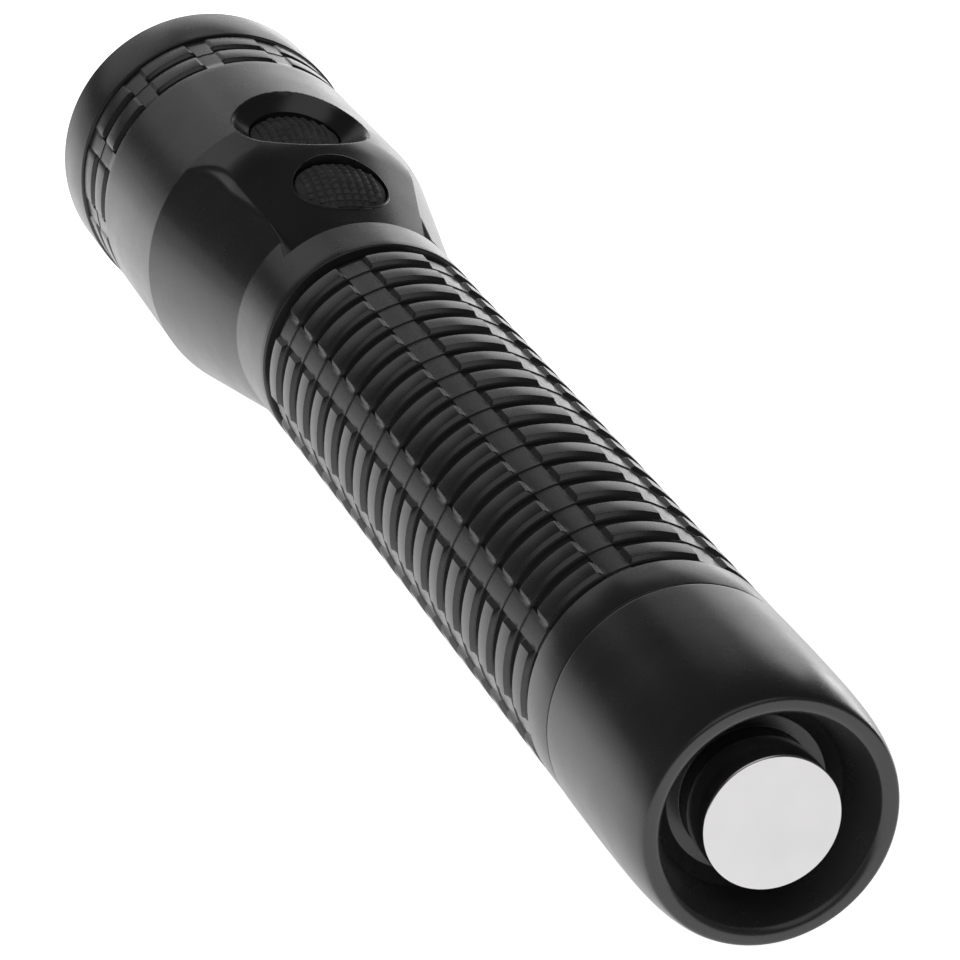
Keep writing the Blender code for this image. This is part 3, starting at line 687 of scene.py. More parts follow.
def barrel_angles():
    top = np.linspace(0, RIB_HALF, 5)
    fall = np.linspace(RIB_HALF, RIB_END, 5)
    tile = np.linspace(RIB_END + POCKET_WALL, math.tau / PANELS / 2, 4)
    offsets = [round(float(x), 9) for x in np.concatenate([top, fall, tile])]
    return symmetric(offsets, PANELS)


def sector_offset(angles, sectors):
    """How far each angle is from the middle of its sector."""
    sector = math.tau / sectors
    return np.abs((angles + sector / 2) % sector - sector / 2)


def rib_section():
    """One rib from its foot line towards the head, as (radius, distance from the foot)."""
    ledge = TILE_R - 0.03 * MM
    corners = [(GROOVE_R, 0.10 * MM, 0), (ledge, 0.16 * MM, 0.03 * MM), (ledge, 0.43 * MM, 0.03 * MM),
               (ledge + 0.1 * MM, 0.46 * MM, 0.03 * MM), (RIB_R, 1.0 * MM, 0.14 * MM),
               (RIB_R, 4.46 * MM, 0.12 * MM), (RIB_R - 0.2 * MM, 4.64 * MM, 0.05 * MM),
               (GROOVE_R, 4.72 * MM, 0)]
    return filleted(corners, steps=3)


def grip_rows(angles):
    across = sector_offset(angles, PANELS)
    fall = np.clip((across - RIB_HALF) / (RIB_END - RIB_HALF), 0, 1)
    end_cap = RIB_R - fall * (RIB_R - TILE_R)
    panel = across < RIB_END + POCKET_WALL / 2
    tile_low = TILE_R - TILE_FALL
    rows = [(np.where(panel, GROOVE_R, tile_low), GRIP_START + 0.12 * MM)]
    for k in reversed(range(RIB_COUNT)):
        foot = RIB_FOOT - k * RIB_PITCH
        for radius, past in rib_section():
            rise = np.clip((past - 0.10 * MM) / (0.06 * MM), 0, 1)
            slope = TILE_FALL * max(0.0, past - 0.16 * MM) / RIB_PITCH
            tile = tile_low + rise * TILE_FALL - slope
            rows.append((np.where(panel, np.minimum(radius, end_cap), tile), foot + past))
    last = rows[-1][1]
    rows.append((np.where(panel, GROOVE_R, tile), last + 0.35 * MM))
    rows.append((DEEP_GROOVE_R, last + 0.42 * MM))
    rows.append((DEEP_GROOVE_R, GRIP_END))
    return rows


def thread_rows(angles, radius, start, end, pitch, depth, per_pitch=14):
    """A right-hand thread cut into a neck, its ends run out to the plain radius."""
    rows = []
    count = int(round((end - start) / pitch * per_pitch))
    for i in range(count + 1):
        along = start + (end - start) * i / count
        phase = (along / pitch - angles / math.tau) % 1.0
        groove = np.clip(1.35 - np.abs(phase - 0.5) * 3.6, 0, 1)
        fade = min(1.0, i / per_pitch, (count - i) / per_pitch)
        rows.append((radius - depth * groove * fade, along))
    return rows


def seat_corners(along):
    return [(NECK_R, along - SEAT_HALF, FINE), (SEAT_R, along - SEAT_HALF, 0.15 * MM),
            (SEAT_R, along + SEAT_HALF, 0.15 * MM), (NECK_R, along + SEAT_HALF, FINE)]


def build_barrel():
    angles = barrel_angles()
    shoulder = CAP_END + GAP
    edge = 0.15 * MM
    tail = filleted([(BORE_R, GRIP_END, 0), (BORE_R, NECK_TAIL, ROUND), (NECK_R, NECK_TAIL, 0.4 * MM),
                     (NECK_R, NECK_TAIL + 1 * MM, 0)])
    thread = thread_rows(angles, NECK_R, NECK_TAIL + 1.1 * MM, TAIL_RING_S - 2 * MM,
                         TAIL_THREAD_PITCH, THREAD_DEPTH)
    plain = filleted([(NECK_R, TAIL_RING_S - 1.9 * MM, 0)] + seat_corners(TAIL_RING_S)
                     + [(NECK_R, shoulder, FINE), (BARREL_R, shoulder, edge),
                        (BARREL_R, GRIP_START, edge), (GROOVE_R, GRIP_START + 0.1 * MM, 0)])
    head = filleted([(NECK_R, GRIP_END + 0.1 * MM, 0)] + seat_corners(HEAD_RING_S)
                    + [(NECK_R, NECK_HEAD, ROUND), (BORE_R, NECK_HEAD, 0)])
    barrel = lathe("barrel_tube", tail + thread + plain[:-1] + grip_rows(angles) + head, angles, BLACK_METAL)
    attach(barrel, "body", "barrel")


# ---- head housing ----
def head_angles():
    band = [0, 2.5, 5, 7.5, 10, 10.4, 10.8, 11.2, 11.45, 13, 15]
    coarse = symmetric([math.radians(a) for a in band], BLOCKS)
    fine = np.radians(np.arange(-54, 54.01, 0.45))
    wrapped = (coarse + math.pi) % math.tau - math.pi
    sides = wrapped[np.abs(wrapped) > math.radians(54.2)]
    marks = wrapped[np.abs(wrapped) <= math.radians(54.2)]
    spare = [f for f in fine if np.min(np.abs(marks - f)) > math.radians(0.2)]
    return np.array(sorted(list(sides) + list(marks) + spare))


def plain_radius(along):
    """The head's own turned side, before the pad and dish."""
    stops = np.array([COLLAR_START, CONE_START, CONE_END, BAND_START])
    radii = np.array([COLLAR_R, COLLAR_R, HEAD_R - 0.06 * MM, HEAD_FRONT_R])
    return float(np.interp(along, stops, radii))


def pad_radius(angles, along):
    """Radius of the crowned pad, which climbs more steeply than the cone."""
    height = PAD_H + PAD_SLOPE * (along - PAD_S)
    crown = height + PAD_CROWN_EXTRA
    lift = height - crown
    return lift * np.cos(angles) + np.sqrt(crown ** 2 - (lift * np.sin(angles)) ** 2)


def shoulder_radius(angles, along):
    """The pad and, past its top, the shoulder around the dish."""
    shoulder = plain_radius(CONE_END) - SHOULDER_SLOPE * max(0.0, CONE_END - along)
    return smooth_min(pad_radius(angles, along), shoulder, SHOULDER_BLEND)


def eased(value, width):
    """The positive part of a value, with its corner rounded over the width."""
    return np.where(value > width, value, np.maximum(value + width, 0.0) ** 2 / (4 * width))


def side_radius(angles, along):
    """The head's side: the cone with the pad standing out of it, or cut into it near the collar."""
    plain = plain_radius(along)
    if along <= COLLAR_STEP or along >= CONE_END:
        return np.full(len(angles), plain)
    edge = PAD_EDGE + PAD_FLARE * max(0.0, along - PAD_FLARE_S) ** 2
    top = shoulder_radius(np.minimum(np.abs(angles), edge), along)
    past = (np.abs(angles) - edge) * plain
    reach = np.maximum(top - plain, 0.0) / SIDE_SLOPE
    corner = float(np.interp(along, [207 * MM, 213 * MM], [0.15 * MM, 0.7 * MM]))
    raised = plain + SIDE_SLOPE * eased(reach - eased(past, corner), np.clip(reach, 0.001 * MM, SIDE_FOOT))
    sunk = np.where(past <= 0, top, smooth_min(plain, top + 1.3 * past, 0.25 * MM))
    return np.where(top > plain, raised, sunk)


def dish_depth(angles, along):
    """Radius of the dish's bowl along each angle, and a large value where it misses the bowl."""
    into = seat_matrix(FRONT_SEAT).inverted()
    start = into @ Vector((0.0, TAIL_Y + along, 0.0))
    turn = into.to_3x3()
    spoke_x = turn @ Vector((-1.0, 0.0, 0.0))
    spoke_z = turn @ Vector((0.0, 0.0, 1.0))
    away = np.outer(np.sin(angles), spoke_x) + np.outer(np.cos(angles), spoke_z)
    first = np.array(start) - np.array((0.0, 0.0, DISH_LIFT))
    result = np.full(len(angles), 1.0)
    for reach, side in ((DISH_TAIL_RADIUS, -1), (DISH_RADIUS, 1)):
        scale = np.array((DISH_HALF_WIDTH, reach, DISH_RADIUS))
        base = first / scale
        step = away / scale
        a = (step ** 2).sum(1)
        b = step @ base
        inside = b ** 2 - a * (base @ base - 1)
        near = (-b - np.sqrt(np.maximum(inside, 0))) / a
        row = first[1] + near * away[:, 1]
        result = np.where((inside > 0) & (near > 0) & (row * side >= 0), near, result)
    return result


def head_radius(angles, along):
    side = side_radius(angles, along)
    if not 200 * MM < along < 240 * MM:
        return side
    blend = float(np.interp(along, [214 * MM, 221 * MM], [1.7 * MM, 0.12 * MM]))
    return smooth_min(side, dish_depth(angles, along), blend)


def band_rows(angles):
    """Two rows of raised blocks behind the bezel, each with a pocket on its tail side."""
    across = sector_offset(angles, BLOCKS)
    fall = np.clip((across - BLOCK_HALF) / (BLOCK_END - BLOCK_HALF), 0, 1)
    end_cap = BLOCK_R - fall * (BLOCK_R - BAND_TILE_R + 0.1 * MM)
    block = across < BLOCK_END + math.radians(0.1)
    section = filleted([(BAND_FLOOR_R, 0.12 * MM, 0), (BAND_FLOOR_R, 2.1 * MM, 0),
                        (BAND_FLOOR_R + 0.3 * MM, 2.16 * MM, 0.03 * MM), (BLOCK_R, 2.7 * MM, 0.12 * MM),
                        (BLOCK_R, BAND_PITCH - 0.3 * MM, FINE),
                        (BLOCK_R - 0.15 * MM, BAND_PITCH - 0.12 * MM, 0.04 * MM),
                        (BAND_FLOOR_R, BAND_PITCH - 0.05 * MM, 0)], steps=3)
    rows = []
    for row in range(BAND_ROWS):
        start = BAND_START + row * BAND_PITCH
        for radius, past in section:
            tile = BAND_TILE_R - 0.12 * MM * past / BAND_PITCH
            rows.append((np.where(block, np.minimum(radius, end_cap), tile), start + past))
    return rows


def head_rows(angles):
    neck_start = BEZEL_START - 0.15 * MM
    inner = filleted([(HEAD_CHAMBER_R, LAMP_BAY_S - 1 * MM, 0), (HEAD_CHAMBER_R, HEAD_SOCKET_END, SOFT),
                      (SOCKET_R, HEAD_SOCKET_END, SOFT), (SOCKET_R, COLLAR_START, SOFT),
                      (COLLAR_R, COLLAR_START, ROUND), (COLLAR_R, COLLAR_START + 2 * MM, 0)])
    rows = list(inner)
    stops = np.concatenate([np.linspace(176, 183.15, 4), [183.19, 183.23], np.arange(183.4, 188.1, 0.25),
                            [188.18, 188.22], np.arange(188.4, 221.3, 0.25), [221.38, 221.42],
                            np.arange(221.6, 237.51, 0.25), np.arange(238, 251, 3.0), [251.7]]) * MM
    rows += [(head_radius(angles, s), s) for s in stops]
    for drop, past in ((0.01, -0.12), (0.06, -0.02), (0.18, 0.05)):
        rows.append((HEAD_FRONT_R - drop * MM, BAND_START + past * MM))
    rows += band_rows(angles)
    rows += filleted([(BAND_FLOOR_R, BAND_END + 0.02 * MM, 0), (BAND_FLOOR_R, neck_start, FINE),
                      (HEAD_NECK_R, neck_start, FINE), (HEAD_NECK_R, BEZEL_START + 0.3 * MM, 0)])
    rows += thread_rows(angles, HEAD_NECK_R, BEZEL_START + 0.4 * MM, HEAD_NECK_END - 0.6 * MM,
                        BEZEL_THREAD_PITCH, 0.35 * MM, 10)
    rows += filleted([(HEAD_NECK_R, HEAD_NECK_END - 0.5 * MM, 0), (HEAD_NECK_R, HEAD_NECK_END, SOFT),
                      (LAMP_BAY_R, HEAD_NECK_END, SOFT), (LAMP_BAY_R, LAMP_BAY_S, SOFT),
                      (HEAD_CHAMBER_R, LAMP_BAY_S, 0)])
    return rows


def local_turned(name, outline, columns, matrix):
    """A turned cutter or part about local Z, placed by a matrix. Outline is (radius, height)."""
    solid = outline[0][0] == 0
    points = outline[1:-1] if solid else outline
    turn = ring_of(columns)
    vertices = []
    for radius, height in points:
        vertices += [(radius * math.cos(a), radius * math.sin(a), height) for a in turn]
    count = len(points)
    index = np.arange(count * columns).reshape(count, columns)
    quads = grid_faces(index[:-1], index[1:]) if solid else grid_faces(index, np.roll(index, -1, axis=0))
    faces = quads.tolist()
    if solid:
        faces += [index[0].tolist(), index[-1].tolist()[::-1]]
    obj = new_object(name, vertices, faces, BLACK_METAL)
    face_outward(obj)
    obj.data.transform(matrix)
    return obj


def hole_outline():
    return [(0, 8 * MM), (HOLE_R, 8 * MM), (HOLE_R, HOLE_STEP), (HOLE_STEP_R, HOLE_STEP),
            (HOLE_STEP_R, -12.5 * MM), (0, -12.5 * MM)]


def surface_height(x, along):
    """Height of the head's surface over a point, found by following it outwards."""
    height = PAD_H
    for _ in range(6):
        angle = math.atan2(-x, height)
        radius = float(head_radius(np.array([angle]), along)[0])
        height = math.sqrt(radius ** 2 - x ** 2)
    return height


def rim_bead(seat, bead=0.22 * MM, columns=160, sides=10):
    """A fine bead that follows the pad's surface around a button's hole."""
    vertices = []
    for k in range(columns):
        turn = k * math.tau / columns
        out = Vector((math.cos(turn), math.sin(turn) * math.cos(seat[2]), 0.0))
        centre = out * (HOLE_R + 0.02 * MM)
        height = surface_height(centre.x, seat[0] + centre.y)
        for j in range(sides):
            roll = j * math.tau / sides
            place = out * (HOLE_R + 0.02 * MM + bead * math.cos(roll))
            vertices.append((place.x, TAIL_Y + seat[0] + place.y, height - 0.06 * MM + bead * math.sin(roll)))
    index = np.arange(columns * sides).reshape(columns, sides)
    faces = outward(np.array(vertices), grid_faces(index, np.roll(index, -1, axis=0))).tolist()
    return new_object("rim_bead", vertices, faces, BLACK_METAL)


def build_head():
    angles = head_angles()
    head = lathe("head_shell", head_rows(angles), angles, BLACK_METAL)
    cut(head, rim_bead(REAR_SEAT), "UNION")
    for seat in (REAR_SEAT, FRONT_SEAT):
        cut(head, local_turned("hole", hole_outline(), 128, seat_matrix(seat)))
    crisp(head)
    attach(head, "body", "head_housing")


# ---- buttons ----
def stud_grid(lift, pitch=1.35 * MM, reach=6.1 * MM, height=0.42 * MM, foot=0.62 * MM, top=0.16 * MM):
    """Raised four-sided studs over the button's crown."""
    bm = bmesh.new()
    count = int(reach / pitch) + 1
    for i in range(-count, count + 1):
        for j in range(-count, count + 1):
            x, y = i * pitch, j * pitch
            if math.hypot(x, y) > reach:
                continue
            share = math.hypot(x, y) / BUTTON_R
            base = lift + BUTTON_EDGE + BUTTON_CROWN * (1 - share ** 2)
            rings = [(foot, base - 0.35 * MM), (foot, base - 0.02 * MM),
                     (top * 1.5, base + height * 0.86), (top, base + height)]
            square = ((-1, -1), (1, -1), (1, 1), (-1, 1))
            loops = [[bm.verts.new((x + w * sx, y + w * sy, z)) for sx, sy in square] for w, z in rings]
            for low, high in zip(loops, loops[1:]):
                for k in range(4):
                    bm.faces.new((low[k], low[(k + 1) % 4], high[(k + 1) % 4], high[k]))
            bm.faces.new(loops[0][::-1])
            bm.faces.new(loops[-1])
    return link_mesh("studs", bm)


def build_button(side, seat, lift):
    edge = BUTTON_EDGE + lift
    crown = [(BUTTON_R * share, edge + BUTTON_CROWN * (1 - share ** 2), 0)
             for share in np.linspace(0, 0.95, 12)]
    skirt = HOLE_STEP - GAP
    under = BUTTON_EDGE - SKIN + 0.3 * MM
    outline = filleted(crown + [(BUTTON_R, edge, 0.25 * MM), (BUTTON_R, skirt, FINE),
                                (FLANGE_R, skirt, 0.15 * MM), (FLANGE_R, skirt - FLANGE_H, 0.15 * MM),
                                (BUTTON_R - SKIN, skirt - FLANGE_H, FINE), (BUTTON_R - SKIN, under, SOFT),
                                (POST_R, under, SOFT), (POST_R, POST_END, SOFT), (0, POST_END, 0)])
    button = local_turned(side + "_button_cap", outline, 96, Matrix.Identity(4))
    button.data.materials[0] = BUTTON_RUBBER
    cut(button, stud_grid(lift), "UNION")
    for slot in button.material_slots:
        slot.material = BUTTON_RUBBER
    button.data.transform(seat_matrix(seat))
    crisp(button, 30)
    attach(button, side + "_push", side + "_button")


# ---- bezel ----
def build_bezel():
    edge = 0.25 * MM
    corners = [(HEAD_R - 0.02 * MM, BEZEL_START, edge), (HEAD_R, LENGTH - 1.0 * MM, 0.5 * MM),
               (HEAD_R - 1.0 * MM, LENGTH, 0.4 * MM), (LIP_R + 1.2 * MM, LENGTH, ROUND),
               (LIP_R, LENGTH - 1.0 * MM, SOFT), (LIP_R, LIP_S, SOFT), (BEZEL_BORE_R, LIP_S, SOFT),
               (BEZEL_BORE_R, BEZEL_START, SOFT)]
    bezel = turned("bezel_ring_shell", corners, BLACK_METAL)
    attach(bezel, "bezel_ring", "bezel")


# ---- seals, lens and lamp ----
def build_seals():
    for node, along in (("tail_oring", TAIL_RING_S), ("head_oring", HEAD_RING_S)):
        rows = [(RING_R + RING_WIRE * math.cos(a), along + RING_WIRE * math.sin(a)) for a in ring_of(20)]
        attach(lathe(node + "_seal", rows, ring_of(192), SEAL_RUBBER), "body", node)
    start, end = along_of("lens_gasket")
    groove = (start + end) / 2
    corners = [(GASKET_INNER_R, start, 0.15 * MM), (LENS_R, start, 0.15 * MM),
               (LENS_R, groove - 0.2 * MM, FINE), (LENS_R - 0.3 * MM, groove, FINE),
               (LENS_R, groove + 0.2 * MM, FINE),
               (LENS_R, end, 0.15 * MM), (GASKET_INNER_R, end, 0.15 * MM)]
    attach(turned("lens_gasket_ring", corners, SEAL_RUBBER), "bezel_carriage", "lens_gasket")


def build_lens():
    lens = turned("front_lens_disc", disc(LENS_START, LENS_END, LENS_R, SOFT), CLEAR_LENS, solid=True)
    attach(lens, "bezel_carriage", "front_lens")


def build_reflector():
    low, mouth = along_of("reflector")
    vertex = low - THROAT_R ** 2 / (4 * REFLECTOR_FOCUS)
    mouth_r = math.sqrt(4 * REFLECTOR_FOCUS * (mouth - vertex))
    flange = mouth - 1.2 * MM
    radii = np.linspace(mouth_r, THROAT_R, 40)
    inner = [(r, vertex + r ** 2 / (4 * REFLECTOR_FOCUS), 0) for r in radii]
    outer = [(r + REFLECTOR_WALL, a + 0.001 * MM, 0) for r, a, _ in inner[::-1] if a < flange - 1.0 * MM]
    rim = [(outer[-1][0], flange, SOFT), (REFLECTOR_RIM_R, flange, SOFT), (REFLECTOR_RIM_R, mouth, SOFT)]
    reflector = turned("reflector_bowl", inner + outer + rim, MIRROR, 256)
    attach(reflector, "body", "reflector")


def round_box(name, size, centre, radius, material, segments=3):
    """A box about local axes with every edge rounded."""
    bm = bmesh.new()
    bmesh.ops.create_cube(bm, size=1.0, matrix=Matrix.Diagonal((*size, 1.0)))
    bmesh.ops.bevel(bm, geom=bm.edges[:] + bm.verts[:], offset=radius, segments=segments, profile=0.5,
                    affect="EDGES", clamp_overlap=True)
    bmesh.ops.translate(bm, verts=bm.verts, vec=centre)
    return link_mesh(name, bm, material)


def join_to(obj, other, operation="UNION"):
    """Adds or cuts a shape and keeps obj's single material."""
    material = obj.data.materials[0]
    cut(obj, other, operation)
    for slot in obj.material_slots:
        slot.material = material
    return obj


def axis_matrix(along):
    """Places a part made about local Z on the light's axis, its top towards the bezel."""
    return Matrix.Translation((0, TAIL_Y + along, 0)) @ Matrix.Rotation(-math.pi / 2, 4, "X")


def build_heat_sink():
    start, end = along_of("heat_sink")
    radius = radius_of("heat_sink")
    corners = [(0, start, 0), (radius, start, ROUND)]
    for k in range(3):
        groove = start + (0.9 + 1.2 * k) * MM
        corners += [(radius, groove, FINE), (radius - 1.0 * MM, groove, FINE),
                    (radius - 1.0 * MM, groove + 0.6 * MM, FINE), (radius, groove + 0.6 * MM, FINE)]
    corners += [(radius, end, ROUND), (0, end, 0)]
    sink = turned("heat_sink_disc", corners, RAW_ALUMINIUM, solid=True)
    for side in (-1, 1):
        hole = plug(WIRE_HOLE_R, 1 * MM, -9 * MM)
        place = axis_matrix(end) @ Matrix.Translation((side * WIRE_HOLE_PLACE, 0, 0))
        join_to(sink, local_turned("wire_hole", hole, 48, place), "DIFFERENCE")
    crisp(sink)
    attach(sink, "body", "heat_sink")


def build_lamp():
    start, end = along_of("led_board")
    board = turned("led_board_disc", disc(start, end, radius_of("led_board"), FINE), WHITE_BOARD, solid=True)
    for k in range(4):
        turn = Matrix.Rotation(k * math.tau / 4 + math.pi / 4, 4, "Z")
        pad = round_box("pad", LED_PAD_SIZE, (LED_PAD_PLACE, 0, -0.1 * MM), FINE, WHITE_BOARD)
        pad.data.transform(axis_matrix(end) @ turn)
        join_to(board, pad)
    crisp(board)
    attach(board, "body", "led_board")
    foot = along_of("led_emitter")[0]
    resin = phosphor("led_phosphor", TAIL_Y + foot + LED_BASE)
    size = (LED_SIDE, LED_SIDE, LED_BASE)
    emitter = round_box("led_emitter_chip", size, (0, 0, LED_BASE / 2), 0.12 * MM, resin)
    lift = LED_BASE - 0.2 * MM
    dome = [(DOME_R * math.sin(a), lift + DOME_R * math.cos(a)) for a in np.linspace(0, 1.5, 16)]
    dome += [(DOME_R, 0.3 * MM), (0, 0.3 * MM)]
    join_to(emitter, local_turned("dome", dome, 64, Matrix.Identity(4)))
    emitter.data.transform(axis_matrix(foot))
    crisp(emitter)
    attach(emitter, "body", "led_emitter")


# ---- cells, contacts and boards ----
def build_cell(side):
    node = "battery_cell_" + side
    start, end = along_of(node)
    shoulder = end - NUB_H
    wrap = wrapped_cell("cell_wrap_blue_" + side, start, shoulder, (0.03, 0.12, 0.30))
    groove = shoulder - 3.0 * MM
    corners = [(0, start, 0), (CELL_R - 0.6 * MM, start, FINE), (CELL_R, start + 0.5 * MM, 0.4 * MM),
               (CELL_R, groove - 0.6 * MM, ROUND), (CELL_R - 0.45 * MM, groove, 0.4 * MM),
               (CELL_R, groove + 0.6 * MM, ROUND), (CELL_R, shoulder, 0.5 * MM),
               (CELL_R - 2.0 * MM, shoulder, SOFT), (CELL_R - 2.3 * MM, shoulder - 0.4 * MM, SOFT),
               (NUB_R, shoulder - 0.4 * MM, ROUND), (NUB_R - 0.3 * MM, end, ROUND), (0, end, 0)]
    cell = turned(node + "_can", corners, wrap, 160, solid=True)
    attach(cell, "body", node)


def build_sleeve():
    start, end = along_of("battery_sleeve")
    outer = radius_of("battery_sleeve")
    edge = 0.12 * MM
    corners = [(SLEEVE_IN_R, start, edge), (outer, start, edge), (outer, end, edge), (SLEEVE_IN_R, end, edge)]
    attach(turned("battery_sleeve_roll", corners, SLEEVE_CARD), "body", "battery_sleeve")


def coil_mesh(name, first, last, start, end, turns, per_turn=48, sides=14):
    """A compression spring with its end turns closed up, as one swept tube."""
    count = turns * per_turn
    share = np.linspace(0, 1, count + 1)
    closed = 0.12
    rise = np.clip((share - closed) / (1 - 2 * closed), 0, 1)
    angle = share * turns * math.tau
    radius = first + (last - first) * share
    along = start + 2 * WIRE * np.clip(share / closed, 0, 1) * 0.4
    along += (end - start - 1.6 * WIRE) * rise + 0.8 * WIRE * np.clip((share - 1 + closed) / closed, 0, 1)
    path = np.stack([radius * np.cos(angle), TAIL_Y + along, radius * np.sin(angle)], axis=1)
    ahead = np.gradient(path, axis=0)
    ahead /= np.linalg.norm(ahead, axis=1, keepdims=True)
    out = np.stack([np.cos(angle), np.zeros(count + 1), np.sin(angle)], axis=1)
    out -= ahead * (out * ahead).sum(1, keepdims=True)
    out /= np.linalg.norm(out, axis=1, keepdims=True)
    side = np.cross(ahead, out)
    turn = ring_of(sides)
    spoke = np.cos(turn)[:, None] * out[:, None] + np.sin(turn)[:, None] * side[:, None]
    shell = path[:, None] + WIRE * spoke
    index = np.arange((count + 1) * sides).reshape(count + 1, sides)
    faces = grid_faces(index[:-1], index[1:]).tolist() + [index[0].tolist()[::-1], index[-1].tolist()]
    obj = new_object(name, shell.reshape(-1, 3).tolist(), faces, SPRING_STEEL)
    face_outward(obj)
    return obj


def build_contacts():
    low, high = along_of("tail_spring")
    spring = coil_mesh("tail_spring_coil", 9.5 * MM, 5.5 * MM, low + WIRE, high - WIRE, 5)
    attach(spring, "tail_carriage", "tail_spring")
    low, high = along_of("front_contact_spring")
    spring = coil_mesh("front_contact_coil", 3.8 * MM, 6.0 * MM, low + WIRE, high - WIRE, 4)
    attach(spring, "body", "front_contact_spring")
    start, end = along_of("tail_contact_plate")
    radius = radius_of("tail_contact_plate")
    corners = [(0, start, 0), (radius, start, 0.15 * MM),
               (radius, end, SOFT), (radius - 1.0 * MM, end, 0.15 * MM),
               (radius - 1.3 * MM, end - 0.35 * MM, 0.15 * MM), (4.0 * MM, end - 0.35 * MM, 0.15 * MM),
               (3.7 * MM, end, SOFT), (0, end, 0)]
    plate = turned("tail_contact_disc", corners, GOLD_PLATE, 160, solid=True)
    attach(plate, "tail_carriage", "tail_contact_plate")


def build_boards():
    parts = {"driver_board": ((4.2, 3.0, 1.2, -6.5, 4.0), (3.2, 5.0, 1.5, 6.0, -3.0),
                              (1.8, 1.0, 0.7, -2.0, -7.0), (1.8, 1.0, 0.7, 2.2, -7.0),
                              (2.6, 2.6, 1.1, 5.5, 5.5), (2.0, 1.2, 0.6, -8.0, -3.0)),
             "contact_board": ()}
    for node, chips in parts.items():
        start, end = along_of(node)
        board = turned(node + "_disc", disc(start, end, BOARD_R, FINE), GREEN_BOARD, solid=True)
        for length, width, height, x, y in chips:
            chip = round_box("chip", (length * MM, width * MM, (height + 0.4) * MM),
                             (x * MM, y * MM, (height / 2 - 0.2) * MM), 0.12 * MM, GREEN_BOARD)
            chip.data.transform(axis_matrix(end))
            join_to(board, chip)
        for k in range(6):
            turn = Matrix.Rotation(k * math.tau / 6, 4, "Z") @ Matrix.Translation((BOARD_R, 0, 0))
            notch = local_turned("notch", plug(0.8 * MM, 1 * MM, -3 * MM), 32, axis_matrix(end) @ turn)
            join_to(board, notch, "DIFFERENCE")
        crisp(board)
        attach(board, "body", node)


# ---- switches ----
def build_switch(side, seat):
    height = SWITCH_TOP - SWITCH_BASE
    switch = round_box(side + "_switch_case", (SWITCH_SIDE, SWITCH_SIDE, height),
                       (0, 0, SWITCH_BASE + height / 2), 0.35 * MM, DARK_PLASTIC)
    for sx in (-1, 1):
        for sy in (-1, 1):
            rivet = [(0, 0.0), (0.55 * MM, 0.0), (0.55 * MM, -0.3 * MM), (0.75 * MM, -0.3 * MM),
                     (0.75 * MM, 0.3 * MM), (0, 0.3 * MM)]
            place = Matrix.Translation((sx * 2.7 * MM, sy * 2.7 * MM, SWITCH_TOP - 0.15 * MM))
            join_to(switch, local_turned("rivet", rivet, 32, place), "DIFFERENCE")
    well = plug(PLUNGER_R + GAP, 0, WELL_END)
    join_to(switch, local_turned("well", well, 64, Matrix.Identity(4)), "DIFFERENCE")
    switch.data.transform(seat_matrix(seat))
    crisp(switch)
    attach(switch, "body", side + "_switch")
    edge = 0.3 * MM
    corners = [(0, PLUNGER_TOP, 0), (PLUNGER_R, PLUNGER_TOP, edge), (PLUNGER_R, PLUNGER_END + 1.4 * MM, FINE),
               (PLUNGER_R - 0.2 * MM, PLUNGER_END + 1.2 * MM, FINE),
               (PLUNGER_R - 0.2 * MM, PLUNGER_END, edge), (0, PLUNGER_END, 0)]
    plunger = local_turned(side + "_plunger_pin", filleted(corners), 64, seat_matrix(seat))
    plunger.data.materials[0] = SEAL_RUBBER
    crisp(plunger)
    attach(plunger, side + "_push", side + "_switch_plunger")


def build_carrier():
    low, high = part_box("switch_carrier")
    size = tuple(high - low)
    carrier = round_box("switch_carrier_frame", size, (low + high) / 2, 0.6 * MM, DARK_PLASTIC)
    clear = SWITCH_SIDE + 2 * GAP
    floor = SWITCH_BASE - GAP
    for seat in (REAR_SEAT, FRONT_SEAT):
        pocket = round_box("pocket", (clear, clear, POCKET_DEPTH), (0, 0, floor + POCKET_DEPTH / 2),
                           0.15 * MM, DARK_PLASTIC)
        pocket.data.transform(seat_matrix(seat))
        join_to(carrier, pocket, "DIFFERENCE")
    for k in range(-2, 3):
        slot_y = (low.y + high.y) / 2 + k * SLOT_PITCH
        for side in (low.x, high.x):
            centre = (side, slot_y, low.z + SLOT_LIFT)
            join_to(carrier, round_box("slot", SLOT_SIZE, centre, 0.3 * MM, DARK_PLASTIC), "DIFFERENCE")
    crisp(carrier)
    attach(carrier, "body", "switch_carrier")


build_tail_cap()
build_magnet()
build_barrel()
build_head()
build_button("rear", REAR_SEAT, REAR_LIFT)
build_button("front", FRONT_SEAT, FRONT_LIFT)
build_bezel()
build_seals()
build_lens()
build_reflector()
build_heat_sink()
build_lamp()
build_cell("rear")
build_cell("front")
build_sleeve()
build_contacts()
build_boards()
build_switch("rear", REAR_SEAT)
build_switch("front", FRONT_SEAT)
build_carrier()


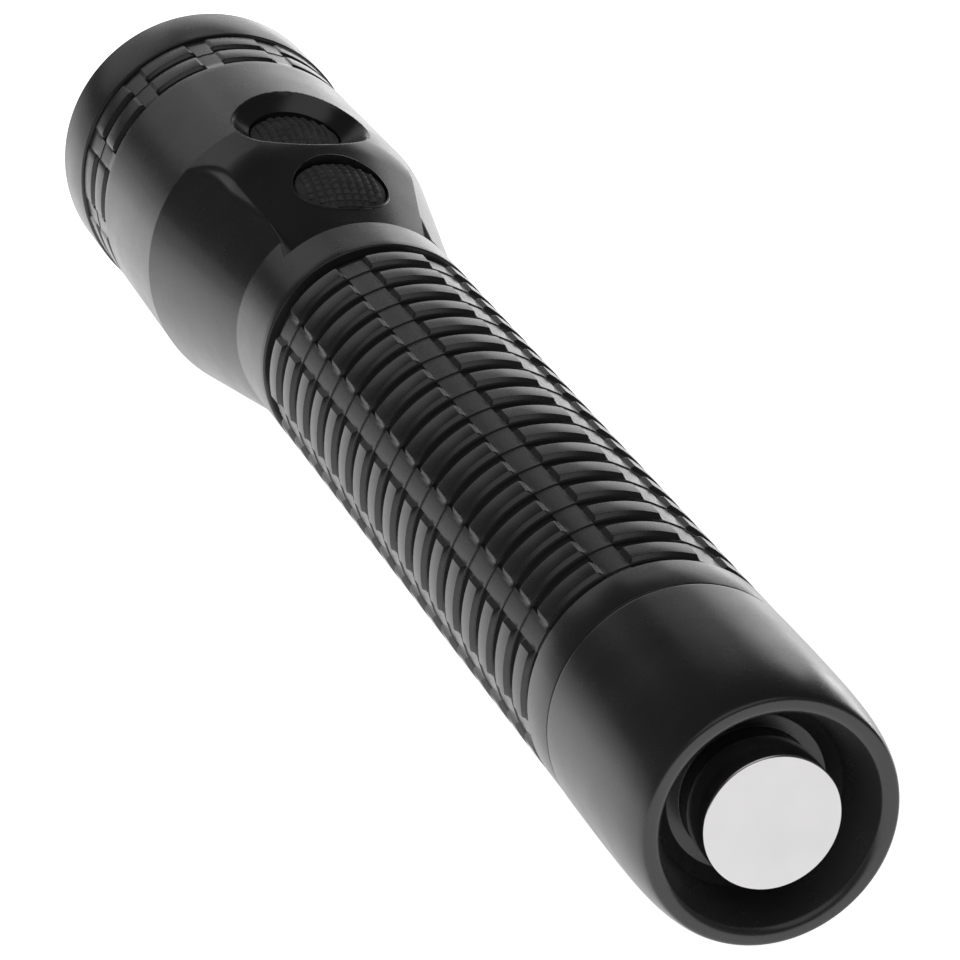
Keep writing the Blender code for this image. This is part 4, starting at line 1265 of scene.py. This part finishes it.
# ---- floor and light ----
def build_floor():
    bm = bmesh.new()
    bmesh.ops.create_grid(bm, x_segments=1, y_segments=1, size=6.0)
    floor = link_mesh("floor", bm)
    floor.location.z = -HEAD_R - 0.1 * MM
    n = Nodes("pale_floor")
    tone = n.blend(n.noise(3.0), (0.50, 0.50, 0.50), (0.53, 0.53, 0.53))
    n.finish(tone)
    n.shader.inputs["Roughness"].default_value = 0.9
    # Painted light: the floor glows, brighter towards +Y and dimmer towards -X, so it lights the object from
    # below and washes out its shadow.
    n.shader.inputs["Emission Color"].default_value = (1.0, 1.0, 1.0, 1.0)
    place = n.axes()
    beside = n.maths("SUBTRACT", place["X"], n.maths("MULTIPLY", place["Y"], 0.26))
    fade = n.spread(beside, 0.25, 1.0, -0.21, -0.055)
    glow = n.maths("MULTIPLY", n.spread(place["Y"], 0.97, 1.4, 0.05, 0.2), fade)
    n.join(glow, n.shader.inputs["Emission Strength"])
    floor.data.materials.append(n.material)


def card(azimuth, low, high, radiance, distance=0.5, width=0.22):
    """A soft upright card behind the light, facing it, as bright as the given radiance."""
    angle = math.radians(azimuth)
    light = bpy.data.lights.new("card", "AREA")
    light.shape = "RECTANGLE"
    light.size, light.size_y = width, high - low
    light.energy = radiance * math.pi * width * (high - low)
    obj = link("card", light)
    obj.location = (distance * math.sin(angle), 0.05 + distance * math.cos(angle), (low + high) / 2)
    aim = Vector((0, 0.05, obj.location.z)) - obj.location
    obj.rotation_euler = aim.to_track_quat("-Z", "Y").to_euler()


def build_light():
    world = bpy.data.worlds.new("studio")
    bpy.context.scene.world = world
    world.use_nodes = True
    world.node_tree.nodes["Background"].inputs["Color"].default_value = (0.045, 0.045, 0.045, 1.0)
    card(-15, 0.08, 0.28, 0.35)
    card(10, -0.02, 0.18, 1.3)
    card(10, 0.28, 0.42, 0.5)
    card(35, -0.02, 0.28, 1.25)
    card(60, -0.02, 0.08, 3.5)
    top = bpy.data.lights.new("top_box", "AREA")
    top.size = 1.5
    top.energy = 4.0
    obj = link("top_box", top)
    obj.location = (-0.3, -0.7, 1.3)
    obj.rotation_euler = (-obj.location).to_track_quat("-Z", "Y").to_euler()
    bpy.context.scene.view_settings.view_transform = "Standard"


build_floor()
build_light()
